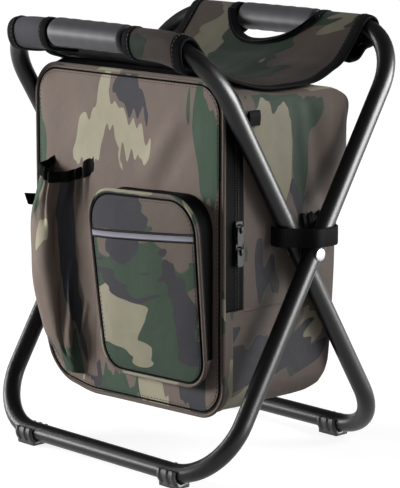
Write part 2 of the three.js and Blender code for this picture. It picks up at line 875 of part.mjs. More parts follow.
const tapeBack = touch + pocketTapeWidth;
const pocketTape = carryForward(pocketWallRing, tapeBack, pocketTapeWidth);
piece(pocket, "pocket_zip_tape", within(pocketTape, above(pocketHingeRise)), blackTape);
const panelRoom = block(-far, far, panelFront - touch, far, -far, far);
panelRoom.applyMatrix4(pocket.matrixWorld.clone().invert());
const tapeRoom = block(-far, far, 0, tapeBack + touch, pocketHingeRise, far);
const gussetWall = carryForward(pocketWallRing, 2 * pocketTopDepth, 2 * pocketTopDepth - touch);
const gusset = solid(gussetWall).subtract(solid(panelRoom)).subtract(solid(tapeRoom));
piece(pocket, "pocket_gusset", shaped(gusset), camoCloth);
const stripLength = pocketRight - pocketLeft - 2 * stripMargin;
const reflector = new THREE.BoxGeometry(stripLength, stripThickness, stripHeight);
const strip = piece(pocket, "reflective_strip", reflector, greyReflector);
strip.position.set((pocketLeft + pocketRight) / 2, -pocketWall - touch - stripThickness / 2, stripRise);
strip.rotation.y = -stripTilt;
const pocketLean = Math.atan2(pocketLeftTaper, pocketFaceHeight);
const sliderShare = 1 - pocketSliderRise / pocketFaceHeight;
const pocketSliderX = pocketLeft + pocketLeftTaper * sliderShare - touch / Math.cos(pocketLean);
const pocketSliderY = pipingWidth - pocketWall + touch + pocketSliderWidth / 2;
addSlider(
  pocket, ["pocket_slider", "pocket_pull"], [pocketSliderX, pocketSliderY, pocketSliderRise],
  [0, -pocketLean, Math.PI], pocketSliderWidth,
);

// Bottle pouch with an elastic mouth
const pouch = pouchSolid(0, 0, pouchBottom, pouchTop);
const pouchRoom = pouchSolid(pouchWall, pouchWall, pouchBottom + pouchWall, pouchTop + elasticHeight);
piece(bag, "bottle_pouch", shaped(pouch.subtract(pouchRoom)), camoCloth);
const elasticLow = pouchTop + touch;
const elasticHigh = elasticLow + elasticHeight;
const elastic = pouchSolid(0, 0, elasticLow, elasticHigh);
const elasticRoom = pouchSolid(elasticThickness, elasticThickness, pouchTop, elasticHigh + elasticHeight);
piece(bag, "pouch_elastic", shaped(elastic.subtract(elasticRoom)), blackWebbing);

// Webbing that holds the bag to the legs, and a folded tab on the bag's right side
piece(bag, "frame_strap_left", frameStrap(-1), blackWebbing);
piece(bag, "frame_strap_right", frameStrap(1), blackWebbing);
const tabHalf = tabSize / 2;
const tabOutline = roundOutline([
  [tabHalf, -tabHalf, tabRound],
  [tabHalf, tabHalf, tabHalf],
  [-tabHalf, tabHalf, tabHalf],
  [-tabHalf, -tabHalf, tabRound],
]);
const tabSettings = { depth: tabThickness, curveSegments: cornerSteps };
const tab = carryAcross(tabOutline, bagHalfWidth + touch, tabSettings);
piece(bag, "side_tab", tab.translate(0, tabY, tabZ), blackWebbing);

// Shoulder straps, drawn in the plane of the bag's leaning back, with Z up the back
const underSeat = seatHeight(bagRear - bagRearTopRound) - seatThickness / 2 - touch;
const backRise = Math.min(bagTop, underSeat) - bagRearTopRound - bagBottom - bagRearBottomRound;
const back = new THREE.Group();
back.position.set(0, bagRear - bagRearLean, bagBottom + bagRearBottomRound);
back.rotation.x = -Math.atan2(bagRearLean, backRise);
bag.add(back);
for (const [name, side] of [["left", -1], ["right", 1]]) {
  const line = new THREE.SplineCurve([
    new THREE.Vector2(side * padTopX, padTopRise),
    new THREE.Vector2(side * (padTopX + padBow), (padTopRise + padBottomRise) / 2),
    new THREE.Vector2(side * padBottomX, padBottomRise),
  ]);
  const pad = ribbonOutline(line.getPoints(padSteps), padWidth);
  const padding = carryForward(pad, touch + padThickness, padThickness);
  piece(back, `shoulder_strap_${name}`, padding, blackWebbing);
  const buckleTop = padBottomRise - buckleDrop;
  const buckleShape = roundOutline([
    [buckleWidth / 2, -buckleHeight, buckleRound],
    [buckleWidth / 2, 0, buckleRound],
    [-buckleWidth / 2, 0, buckleRound],
    [-buckleWidth / 2, -buckleHeight, buckleRound],
  ]);
  for (const end of [-1, 1]) {
    const middle = (end * buckleSlotPitch - buckleHeight) / 2;
    buckleShape.holes.push(new THREE.Path([
      new THREE.Vector2(buckleSlotWidth / 2, middle + buckleSlotHeight / 2),
      new THREE.Vector2(-buckleSlotWidth / 2, middle + buckleSlotHeight / 2),
      new THREE.Vector2(-buckleSlotWidth / 2, middle - buckleSlotHeight / 2),
      new THREE.Vector2(buckleSlotWidth / 2, middle - buckleSlotHeight / 2),
    ]));
  }
  const buckle = carryForward(buckleShape, touch + buckleThickness, buckleThickness, smallSteps);
  buckle.translate(side * padBottomX, 0, buckleTop);
  piece(back, `strap_buckle_${name}`, buckle, blackPlastic);
  const webbingTop = buckleTop - buckleHeight - touch;
  const webbing = new THREE.BoxGeometry(webbingWidth, webbingThickness, webbingLength);
  webbing.translate(side * padBottomX, touch + webbingThickness / 2, webbingTop - webbingLength / 2);
  piece(back, `strap_webbing_${name}`, webbing, blackWebbing);
}

export default part;
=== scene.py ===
"""Folding stool with a camouflage cooler bag in its crossed tube frame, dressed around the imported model."""
import math

import bmesh
import bpy
from mathutils import Matrix, Vector, noise
from mathutils.bvhtree import BVHTree


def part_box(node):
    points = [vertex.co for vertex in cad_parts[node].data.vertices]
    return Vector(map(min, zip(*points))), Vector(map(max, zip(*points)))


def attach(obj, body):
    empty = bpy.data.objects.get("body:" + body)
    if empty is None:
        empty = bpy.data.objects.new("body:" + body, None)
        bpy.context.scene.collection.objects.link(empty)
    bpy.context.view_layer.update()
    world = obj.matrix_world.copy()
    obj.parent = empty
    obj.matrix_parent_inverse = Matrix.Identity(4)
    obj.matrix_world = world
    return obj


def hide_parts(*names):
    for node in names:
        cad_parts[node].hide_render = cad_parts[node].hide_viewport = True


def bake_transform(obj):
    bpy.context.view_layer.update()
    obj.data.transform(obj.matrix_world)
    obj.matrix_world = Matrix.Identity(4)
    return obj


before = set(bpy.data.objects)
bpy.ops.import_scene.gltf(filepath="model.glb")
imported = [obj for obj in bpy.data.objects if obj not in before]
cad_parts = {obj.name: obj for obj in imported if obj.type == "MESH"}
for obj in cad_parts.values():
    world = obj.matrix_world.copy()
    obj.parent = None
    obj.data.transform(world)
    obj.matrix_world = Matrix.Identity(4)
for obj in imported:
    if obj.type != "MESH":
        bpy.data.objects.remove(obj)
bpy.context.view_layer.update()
scene = bpy.context.scene
scene.view_settings.view_transform = "Standard"

# Studio: a plain white floor that runs out to a white horizon, a broad low lamp on the front left and a
# smaller high one on the right that light the cloth, three strips that the tubes mirror, and the
# photograph's camera.
camera_place = Vector((1.71115, -1.60438, 0.64898))
camera_aim = Vector((0.006533, 0.003213, 0.201463))
lamp_aim = Vector((0, 0, 0.2))
lamps = [
    ("front_lamp", (-2.35, -1.75, 0.72), 0.9, 0.9, 118, True),
    ("right_lamp", (2.0, 0.9, 1.6), 0.8, 0.8, 25, True),
    ("top_lamp", (-0.2, -0.6, 2.4), 1.2, 1.2, 5, True),
    ("right_strip", (2.0, 1.35, 0.62), 2.4, 1.2, 360, False),
    ("left_strip", (-2.4, -0.9, 0.7), 0.3, 1.3, 34, False),
    ("low_strip", (-2.2, -2.0, 0.22), 1.6, 0.4, 75, False),
]
room_light = 0.12
horizon_low, horizon_high = 0.14, 0.20


def aimed(name, data, place, aim):
    """A lamp or a camera at a place, turned to another."""
    made = bpy.data.objects.new(name, data)
    scene.collection.objects.link(made)
    made.location = place
    made.rotation_euler = (aim - made.location).to_track_quat("-Z", "Y").to_euler()
    return made


camera = aimed("camera", bpy.data.cameras.new("camera"), camera_place, camera_aim)
camera.data.sensor_width = 36
camera.data.lens = 177.78
scene.camera = camera
for name, place, width, height, power, on_cloth in lamps:
    lamp = aimed(name, bpy.data.lights.new(name, "AREA"), place, lamp_aim)
    lamp.data.shape = "RECTANGLE"
    lamp.data.size = width
    lamp.data.size_y = height
    lamp.data.energy = power
    lamp.visible_diffuse = on_cloth
    lamp.visible_glossy = not on_cloth


def plug(tree, node, inputs):
    """Sets or links each input of a node by its name or number."""
    for key, value in inputs.items():
        if isinstance(value, bpy.types.NodeSocket):
            tree.links.new(value, node.inputs[key])
        else:
            node.inputs[key].default_value = value


def wire(tree, kind, inputs=None, **settings):
    """Adds a node with its settings and inputs."""
    made = tree.nodes.new(kind)
    for key, value in settings.items():
        setattr(made, key, value)
    plug(tree, made, inputs or {})
    return made


def blank_finish(name):
    """A new material with its node tree and its shader."""
    material = bpy.data.materials.new(name)
    material.use_nodes = True
    return material, material.node_tree, material.node_tree.nodes["Principled BSDF"]


def ray_kind(tree):
    """One where a ray comes from the camera, a gloss or a glass, and nothing for the light on the cloth."""
    path = wire(tree, "ShaderNodeLightPath").outputs
    seen = path["Is Camera Ray"]
    for kind in ("Is Glossy Ray", "Is Transmission Ray"):
        seen = wire(tree, "ShaderNodeMath", {0: seen, 1: path[kind]}, operation="MAXIMUM").outputs[0]
    return seen


room = bpy.data.worlds.new("studio_room")
scene.world = room
room.use_nodes = True
room_tree = room.node_tree
heading = wire(room_tree, "ShaderNodeTexCoord").outputs["Generated"]
rise = wire(room_tree, "ShaderNodeSeparateXYZ", {0: heading}).outputs["Z"]
horizon = wire(room_tree, "ShaderNodeMapRange", {
    "Value": rise, "From Min": horizon_low, "From Max": horizon_high, "To Min": 1 - room_light, "To Max": 0})
backdrop = wire(room_tree, "ShaderNodeMath", {0: ray_kind(room_tree), 1: horizon.outputs[0], 2: room_light},
                operation="MULTIPLY_ADD")
plug(room_tree, room_tree.nodes["Background"], {"Color": (1, 1, 1, 1), "Strength": backdrop.outputs[0]})

bpy.ops.mesh.primitive_plane_add(size=60, location=(0, 0, -0.0006))
floor = bpy.context.object
floor.name = "floor"
paper, paper_tree, paper_shader = blank_finish("white_paper")
spot = wire(paper_tree, "ShaderNodeTexCoord").outputs["Object"]
away = wire(paper_tree, "ShaderNodeVectorMath", {0: spot}, operation="LENGTH").outputs["Value"]
pale = wire(paper_tree, "ShaderNodeMapRange", {
    "Value": away, "From Min": 0.2, "From Max": 1.6, "To Min": 0.86, "To Max": 0.965}).outputs[0]
glow = wire(paper_tree, "ShaderNodeMath", {0: ray_kind(paper_tree), 1: pale}, operation="MULTIPLY").outputs[0]
plug(paper_tree, paper_shader, {
    "Base Color": (0.32, 0.32, 0.32, 1), "Roughness": 1, "Specular IOR Level": 0,
    "Emission Color": (1, 1, 1, 1), "Emission Strength": glow})
floor.data.materials.append(paper)

# Frame loops: two rounded rectangles bent from one size of round steel tube, powder coated satin black,
# riveted together at the middle of their legs. Their ends meet under the grips.
tube_radius = 0.009
bend_radius = 0.062
tube_sides = 32
bend_steps = 14


def skin(name, rows, ring=False, loop=False, flat=None):
    """One smooth mesh from rows of points. ring closes each row and loop joins the last row to the first."""
    count = len(rows[0])
    points = [p for row in rows for p in row]
    faces = []
    for i in range(len(rows) if loop else len(rows) - 1):
        here, there = i * count, (i + 1) % len(rows) * count
        for j in range(count if ring else count - 1):
            k = (j + 1) % count
            faces.append((here + j, here + k, there + k, there + j))
    mesh = bpy.data.meshes.new(name)
    mesh.from_pydata(points, [], faces)
    if flat:
        layer = mesh.uv_layers.new(name="flat")
        spots = [spot for row in flat for spot in row]
        for corner in mesh.loops:
            layer.data[corner.index].uv = spots[corner.vertex_index]
    mesh.shade_smooth()
    piece = bpy.data.objects.new(name, mesh)
    scene.collection.objects.link(piece)
    return piece


def face_outwards(piece, weld=None):
    """Closes the ends of an open shell, merges doubles and turns every face outwards."""
    shape = bmesh.new()
    shape.from_mesh(piece.data)
    if weld:
        bmesh.ops.remove_doubles(shape, verts=shape.verts, dist=weld)
    bmesh.ops.holes_fill(shape, edges=[e for e in shape.edges if e.is_boundary], sides=0)
    bmesh.ops.recalc_face_normals(shape, faces=shape.faces)
    shape.to_mesh(piece.data)
    shape.free()
    return piece


class Loop:
    """One tube loop, with the place of its bars and the lean of its plane taken from its solid."""

    def __init__(self, node, lean):
        low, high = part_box(node)
        self.half_width = high.x - tube_radius
        self.spread = (high.y - low.y) / 2 - tube_radius
        self.half_height = (high.z - low.z) / 2 - tube_radius
        self.middle = Vector((0, 0, (low.z + high.z) / 2))
        self.half = math.hypot(self.spread, self.half_height)
        self.up = Vector((0, lean * self.spread, self.half_height)) / self.half
        self.out = Vector((1, 0, 0)).cross(self.up)
        self.top_bar = self.middle + self.up * self.half
        self.bottom_bar = self.middle - self.up * self.half

    def stations(self):
        """Points and headings round the loop, close together in its bends."""
        found = []
        bends = [(1, 1, 0), (1, -1, 3), (-1, -1, 2), (-1, 1, 1)]
        for side, end, quarter in bends:
            centre = self.middle + Vector((side * (self.half_width - bend_radius), 0, 0))
            centre += self.up * end * (self.half - bend_radius)
            for step in range(bend_steps + 1):
                angle = (quarter + 1 - step / bend_steps) * math.pi / 2
                spoke = Vector((math.cos(angle), 0, 0)) + self.up * math.sin(angle)
                heading = Vector((math.sin(angle), 0, 0)) - self.up * math.cos(angle)
                found.append((centre + spoke * bend_radius, heading))
        return found


inner_loop = Loop("inner_tube", -1)
outer_loop = Loop("outer_tube", 1)


def clouds(tree, vector, scale, detail, dimensions="3D"):
    """Soft noise from 0 to 1."""
    inputs = {"Vector": vector, "Scale": scale, "Detail": detail}
    return wire(tree, "ShaderNodeTexNoise", inputs, noise_dimensions=dimensions).outputs[0]


def ranged(tree, value, low, high):
    """A value from 0 to 1 spread between two others."""
    return wire(tree, "ShaderNodeMapRange", {"Value": value, "To Min": low, "To Max": high}).outputs[0]


def bumped(tree, height, strength, distance, under=None):
    """Fine relief from a height, over another relief if one is given."""
    inputs = {"Height": height, "Strength": strength, "Distance": distance}
    if under is not None:
        inputs["Normal"] = under
    return wire(tree, "ShaderNodeBump", inputs).outputs[0]


def powder_coat():
    material, tree, shader = blank_finish("satin_black_powder_coat")
    place = wire(tree, "ShaderNodeTexCoord").outputs["Object"]
    plug(tree, shader, {
        "Base Color": (0.004, 0.004, 0.005, 1),
        "Specular IOR Level": 0.28,
        "Roughness": ranged(tree, clouds(tree, place, 60, 3), 0.34, 0.40),
        "Normal": bumped(tree, clouds(tree, place, 700, 2), 0.03, 0.0002),
    })
    return material


def dressed(piece, *finishes):
    """Gives a piece its finishes, with the first one on every face."""
    piece.data.materials.clear()
    for finish in finishes:
        piece.data.materials.append(finish)
    return piece


coat = powder_coat()
tubes = [("inner_tube", inner_loop, "inner_frame"), ("outer_tube", outer_loop, "outer_frame")]
for node, loop, body in tubes:
    rows = []
    for point, heading in loop.stations():
        side = loop.out.cross(heading)
        turns = [2 * math.pi * i / tube_sides for i in range(tube_sides)]
        rows.append([point + (loop.out * math.cos(t) + side * math.sin(t)) * tube_radius for t in turns])
    tube = dressed(face_outwards(skin(f"{node}_bent", rows, ring=True, loop=True)), coat)
    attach(tube, body)
    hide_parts(node, f"{node}_joiner")

# Pivot rivets: bright steel, one through both legs of each side, with a low domed head outside, and a
# black nylon washer that keeps the legs apart.
rivet_sides = 40


def turned(name, profile, start, axis, sides):
    """A turned piece: radius and distance pairs spun round an axis from a start point."""
    axis = axis.normalized()
    across = axis.orthogonal().normalized()
    third = axis.cross(across)
    rows = []
    turns = [2 * math.pi * i / sides for i in range(sides)]
    for radius, along in profile:
        centre = start + axis * along
        rows.append([centre + (across * math.cos(t) + third * math.sin(t)) * radius for t in turns])
    return face_outwards(skin(name, rows, ring=True), weld=1e-6)


def bright_steel():
    material, tree, shader = blank_finish("bright_steel")
    place = wire(tree, "ShaderNodeTexCoord").outputs["Object"]
    plug(tree, shader, {
        "Base Color": (0.55, 0.55, 0.57, 1),
        "Metallic": 1,
        "Roughness": ranged(tree, clouds(tree, place, 900, 4), 0.18, 0.38),
    })
    return material


def two_tone(tree, share, dark, pale):
    """A colour between two others."""
    return wire(tree, "ShaderNodeMix", {0: share, 6: dark, 7: pale}, data_type="RGBA").outputs[2]


def black_nylon(name, shade, gloss=0.5):
    material, tree, shader = blank_finish(name)
    place = wire(tree, "ShaderNodeTexCoord").outputs["Object"]
    haze = clouds(tree, place, 120, 4)
    dark = (shade, shade, shade * 1.1, 1)
    pale = (shade * 1.8, shade * 1.8, shade * 1.95, 1)
    plug(tree, shader, {
        "Base Color": two_tone(tree, haze, dark, pale),
        "Specular IOR Level": gloss,
        "Roughness": ranged(tree, haze, 0.42, 0.62),
        "Normal": bumped(tree, clouds(tree, place, 1600, 1), 0.3, 0.00015),
    })
    return material


steel = bright_steel()
nylon = black_nylon("black_nylon", 0.008)
for name, side in [("left", -1), ("right", 1)]:
    low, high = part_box(f"pivot_rivet_{name}")
    reach = max(abs(low.x), abs(high.x))
    inside = min(abs(low.x), abs(high.x))
    head = (high.z - low.z) / 2
    shank = head / 2
    profile = [
        (0, inside), (head * 0.8, inside), (head, inside + 0.0005), (head, inside + 0.0015),
        (shank, inside + 0.0015), (shank, reach - 0.0015), (head, reach - 0.0015),
        (head * 1.02, reach - 0.0011), (head * 0.9, reach - 0.0006), (head * 0.62, reach - 0.00015),
        (head * 0.3, reach + 0.0001), (0, reach + 0.00015),
    ]
    rivet = turned(f"rivet_{name}", profile, inner_loop.middle, Vector((side, 0, 0)), rivet_sides)
    dressed(rivet, steel, coat)
    # The rivet's inner end takes the black coat: painted shade for the inside of the frame, where it sits in
    # shadow.
    for face in rivet.data.polygons:
        face.material_index = 1 if abs(face.center.x) < outer_loop.half_width else 0
    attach(rivet, "outer_frame")
    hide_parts(f"pivot_rivet_{name}")
    dressed(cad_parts[f"pivot_spacer_{name}"], nylon)

# Feet: black nylon clips pushed on under the bottom bars, with raised ribs round them and a flat sole.
# Each holds its tube between two lips.
foot_length = 0.024
foot_wall = 0.0026
foot_rib_rise = 0.0013
foot_ribs = 3
foot_slices = 48
foot_points = 44
sole_half = 0.0085
lip_angle = math.radians(26)


def foot_outline(outer, height):
    """Outside and inside points of a foot's section round a bar at a height over the floor."""
    pairs = []
    for i in range(foot_points + 1):
        angle = lip_angle - (math.pi + 2 * lip_angle) * i / foot_points
        spoke = Vector((0, math.cos(angle), math.sin(angle)))
        reach = outer
        if spoke.z < 0:
            to_floor = height / -spoke.z
            if abs(spoke.y) * to_floor <= sole_half:
                reach = to_floor
            elif abs(spoke.y) > 0:
                flank = sole_half / abs(spoke.y)
                reach = max(outer, min(to_floor, flank))
        pairs.append((spoke * reach, spoke * (tube_radius + 0.0001)))
    return pairs


for place, loop, body in [("front", outer_loop, "outer_frame"), ("rear", inner_loop, "inner_frame")]:
    for name, side in [("left", -1), ("right", 1)]:
        node = f"{place}_foot_{name}"
        low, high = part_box(node)
        middle = Vector(((low.x + high.x) / 2, loop.bottom_bar.y, loop.bottom_bar.z))
        rows = []
        for i in range(foot_slices + 1):
            along = i / foot_slices - 0.5
            wave = math.cos(2 * math.pi * along * (foot_ribs - 0.6))
            rib = max(0.0, min(1.0, 0.5 + 1.6 * wave))
            edge = min(1.0, (0.5 - abs(along)) * 16)
            outer = tube_radius + foot_wall * (0.55 + 0.45 * edge) + foot_rib_rise * rib * edge
            pairs = foot_outline(outer, middle.z)
            outside = [p for p, q in pairs]
            inside = [q for p, q in reversed(pairs)]
            shift = middle + Vector((along * foot_length, 0, 0))
            rows.append([shift + p for p in outside + inside])
        foot = dressed(face_outwards(skin(f"{node}_clip", rows, ring=True)), nylon)
        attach(foot, body)
        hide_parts(node)

# Grips: sleeves of dark grey foam pushed over the middle of the top bars. They are a little square in
# section, rounded at their ends, with a fine pebbled skin.
grip_sides = 56
grip_square = 2.5
grip_round_end = 0.004
grip_drop = 0.0008


def grip_foam():
    material, tree, shader = blank_finish("grey_grip_foam")
    place = wire(tree, "ShaderNodeTexCoord").outputs["Object"]
    cells = wire(tree, "ShaderNodeTexVoronoi", {"Vector": place, "Scale": 900}).outputs[0]
    cloud = clouds(tree, place, 45, 4)
    plug(tree, shader, {
        "Base Color": two_tone(tree, cloud, (0.038, 0.038, 0.043, 1), (0.052, 0.052, 0.058, 1)),
        "Roughness": 0.5,
        "Specular IOR Level": 0.3,
        "Sheen Weight": 0.05,
        "Normal": bumped(tree, cells, 0.3, 0.0003),
    })
    return material


foam = grip_foam()
grips = [("front_grip", inner_loop, "inner_frame"), ("rear_grip", outer_loop, "outer_frame")]
for node, loop, body in grips:
    low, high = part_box(node)
    middle = Vector(((low.x + high.x) / 2, loop.top_bar.y, loop.top_bar.z - grip_drop))
    half = (high.x - low.x) / 2
    outer = (high.z - low.z) / 2 * 0.92
    stations = [(-half, tube_radius + 0.0002), (-half, outer - grip_round_end)]
    for i in range(1, 7):
        turn = math.pi / 2 * i / 6
        inset = grip_round_end * (1 - math.sin(turn))
        stations.append((-half + grip_round_end * (1 - math.cos(turn)), outer - inset))
    for i in range(1, 14):
        x = (-half + grip_round_end) + (2 * half - 2 * grip_round_end) * i / 14
        stations.append((x, outer + 0.00025 * math.sin(i * 2.3)))
    stations += [(-x, r) for x, r in reversed(stations[:8])]
    rows = []
    for along, radius in stations:
        row = []
        for i in range(grip_sides):
            turn = 2 * math.pi * i / grip_sides
            c, s = math.cos(turn), math.sin(turn)
            square = (abs(c) ** grip_square + abs(s) ** grip_square) ** (-1 / grip_square)
            stretch = 1 if radius < outer - grip_round_end * 1.01 else 1 + 0.55 * (square - 1)
            row.append(middle + Vector((along, 0, 0)) + (loop.up * c + loop.out * s) * radius * stretch)
        rows.append(row)
    grip = dressed(face_outwards(skin(f"{node}_sleeve", rows, ring=True, loop=True)), foam)
    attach(grip, body)
    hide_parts(node)

# Seat: one panel of camouflage polyester hung between the top bars, folded round them into sleeves and cut
# away at the grips. Black tape binds its edges.
seat_half_width = 0.122
seat_sag = 0.047
seat_front_curve = 1.9
seat_rear_curve = 1.35
seat_rear_start = 0.04
sheet_steps = 54
seat_columns = 18
middle_columns = 26
cut_half = 0.056
cut_front_shift = -0.008
cut_front_edge = 0.0985
cut_rear_edge = 0.0925
bar_spread = inner_loop.spread
bar_top = inner_loop.top_bar.z


def gentle(low, high, value):
    """0 below low, 1 above high, and a smooth rise between them."""
    share = min(1, max(0, (value - low) / (high - low)))
    return share * share * (3 - 2 * share)


def through(points, count):
    """Points evenly spread on a smooth curve through the given ones."""
    fine = []
    for i in range(len(points) - 1):
        p0, p1 = points[max(i - 1, 0)], points[i]
        p2, p3 = points[i + 1], points[min(i + 2, len(points) - 1)]
        for step in range(24):
            t = step / 24
            fine.append(0.5 * (2 * p1 + (p2 - p0) * t + (2 * p0 - 5 * p1 + 4 * p2 - p3) * t * t
                               + (3 * p1 - p0 - 3 * p2 + p3) * t ** 3))
    fine.append(points[-1])
    lengths = [0.0]
    for a, b in zip(fine, fine[1:]):
        lengths.append(lengths[-1] + (b - a).length)
    spread = []
    k = 0
    for i in range(count):
        want = lengths[-1] * i / (count - 1)
        while k < len(fine) - 2 and lengths[k + 1] < want:
            k += 1
        gap = lengths[k + 1] - lengths[k]
        spread.append(fine[k].lerp(fine[k + 1], (want - lengths[k]) / gap if gap > 0 else 0))
    return spread


def seat_height(y):
    if y < 0:
        rise = abs(y / bar_spread) ** seat_front_curve
    else:
        rise = max(0, (y - seat_rear_start) / (bar_spread - seat_rear_start)) ** seat_rear_curve
    return bar_top - seat_sag * (1 - min(1, rise))


def seat_line():
    """The seat's section: round the front bar from its seam, across the sag and round the rear bar."""
    def wrap(lift, toward):
        hang = [(30, lift), (17, lift + 1.6), (7, -18.8), (-1, -17.6), (-6.5, -14.2), (-9.7, -8), (-10.8, -1)]
        round_bar = [(-9.5, 5.2), (-5.5, 9.4), (0, 10.9), (5.6, 9.7), (9.7, 6.3)]
        spots = hang + round_bar
        return [Vector((0, toward * (a / 1000 - bar_spread), bar_top + b / 1000)) for a, b in spots]
    front = wrap(-21.8, 1)
    rear = wrap(-29, -1)[::-1]
    depths = [-0.086, -0.07, -0.05, -0.03, -0.01, 0.01, 0.03, 0.05, 0.07, 0.086]
    across = [Vector((0, y, seat_height(y))) for y in depths]
    sheet = through([front[-1], *across, rear[0]], sheet_steps)
    return through(front, 34)[:-1], sheet, through(rear, 34)[1:]


front_wrap, sheet_line, rear_wrap = seat_line()
full_line = front_wrap + sheet_line + rear_wrap
run = [0.0]
for a, b in zip(full_line, full_line[1:]):
    run.append(run[-1] + (b - a).length)


def sheet_at(y):
    """Point of the sag over a place between the bars."""
    for a, b in zip(sheet_line, sheet_line[1:]):
        if a.y <= y <= b.y:
            return a.lerp(b, (y - a.y) / (b.y - a.y))
    return sheet_line[0] if y < sheet_line[0].y else sheet_line[-1]


def seat_shift(x, point):
    """How far the cloth moves from its clean section: down with the bent bar, slack and soft ripples."""
    y = point.y
    loop = inner_loop if y < 0 else outer_loop
    past = max(0, abs(x) - (loop.half_width - bend_radius))
    drop = bend_radius - math.sqrt(bend_radius ** 2 - past ** 2)
    follow = 0.28 if x < 0 else 0.45
    move = loop.up * -drop * gentle(0.045, 0.112, abs(y)) * follow
    free = max(0, 1 - abs(y / bar_spread) ** 6)
    edge = max(0, abs(x) / seat_half_width - 0.55) / 0.45
    ripple = noise.noise(Vector((x * 24, y * 11, 3.7))) * 0.0022
    ripple += noise.noise(Vector((x * 60, y * 22, 9.1))) * 0.0007
    move.z += free * (ripple - 0.0012 * edge ** 2)
    under = gentle(0.004, 0.016, bar_top - point.z) * gentle(0.098, 0.115, -y)
    move.z -= 0.0040 * under * gentle(0.075, seat_half_width, x)
    hang = gentle(0.10, 0.125, abs(y)) * noise.noise(Vector((x * 40, point.z * 30, 1.9)))
    return move + Vector((0, 0.0008 * hang, 0))


def cut_side(y, side):
    """Where a cut-out's end lies, between the front one and the rear one."""
    share = min(1, max(0, (y + bar_spread) / (2 * bar_spread)))
    return cut_front_shift * (1 - share) + side * cut_half


seat_panels = []
for side in (-1, 1):
    rows, flat = [], []
    for i in range(seat_columns + 1):
        row, spots = [], []
        for j, point in enumerate(full_line):
            x = cut_side(point.y, side)
            x += (side * seat_half_width - x) * i / seat_columns
            row.append(Vector((x, point.y, point.z)) + seat_shift(x, point))
            spots.append((x, run[j]))
        rows.append(row)
        flat.append(spots)
    seat_panels.append(skin(f"seat_side_{side + 1}", rows, flat=flat))
rows, flat = [], []
edge_front, edge_rear = [], []
for i in range(middle_columns + 1):
    u = 2 * i / middle_columns - 1
    bow = abs(u) ** 2.6
    y_front = -(cut_front_edge + (-sheet_line[0].y - cut_front_edge) * bow)
    y_rear = cut_rear_edge + (sheet_line[-1].y - cut_rear_edge) * bow
    row, spots = [], []
    for j, point in enumerate(sheet_line):
        share_y = (point.y - sheet_line[0].y) / (sheet_line[-1].y - sheet_line[0].y)
        y = y_front + (y_rear - y_front) * share_y
        spot = sheet_at(y)
        left, right = cut_side(y, -1), cut_side(y, 1)
        x = left + (right - left) * (u + 1) / 2
        row.append(Vector((x, spot.y, spot.z)) + seat_shift(x, spot))
        spots.append((x, run[len(front_wrap)] + (y - sheet_line[0].y) * 1.12))
    rows.append(row)
    flat.append(spots)
    edge_front.append(row[0])
    edge_rear.append(row[-1])
seat_panels.append(skin("seat_middle", rows, flat=flat))


def welded(piece, gap, way=None):
    """Merges doubles and turns the faces alike, so that the furthest one along a way looks along it."""
    shape = bmesh.new()
    shape.from_mesh(piece.data)
    bmesh.ops.remove_doubles(shape, verts=shape.verts, dist=gap)
    bmesh.ops.recalc_face_normals(shape, faces=shape.faces)
    if way is not None:
        furthest = max(shape.faces, key=lambda face: face.calc_center_median().dot(way))
        if furthest.normal.dot(way) < 0:
            bmesh.ops.reverse_faces(shape, faces=shape.faces)
    shape.to_mesh(piece.data)
    shape.free()
    return piece


def joined(name, pieces):
    """Several meshes as one object, with their flat layouts kept."""
    bpy.ops.object.select_all(action="DESELECT")
    for piece in pieces:
        piece.select_set(True)
    bpy.context.view_layer.objects.active = pieces[0]
    bpy.ops.object.join()
    pieces[0].name = name
    pieces[0].data.name = name
    return pieces[0]


def made_plain(piece):
    """Turns what a piece's modifiers give into its own mesh."""
    ready = bpy.data.meshes.new_from_object(piece.evaluated_get(bpy.context.evaluated_depsgraph_get()))
    piece.modifiers.clear()
    piece.data = ready
    return piece


def finished(piece, thickness=None, levels=1, offset=0.0, lined=False):
    """Gives a cloth piece its thickness and a smooth surface, as a plain mesh.
    A lined one has a second finish inside."""
    if thickness:
        wall = piece.modifiers.new("wall", "SOLIDIFY")
        wall.thickness = thickness
        wall.offset = offset
        wall.material_offset = 1 if lined else 0
    if levels:
        soft = piece.modifiers.new("soft", "SUBSURF")
        soft.levels = levels
        soft.render_levels = levels
    made_plain(piece).data.shade_smooth()
    return piece


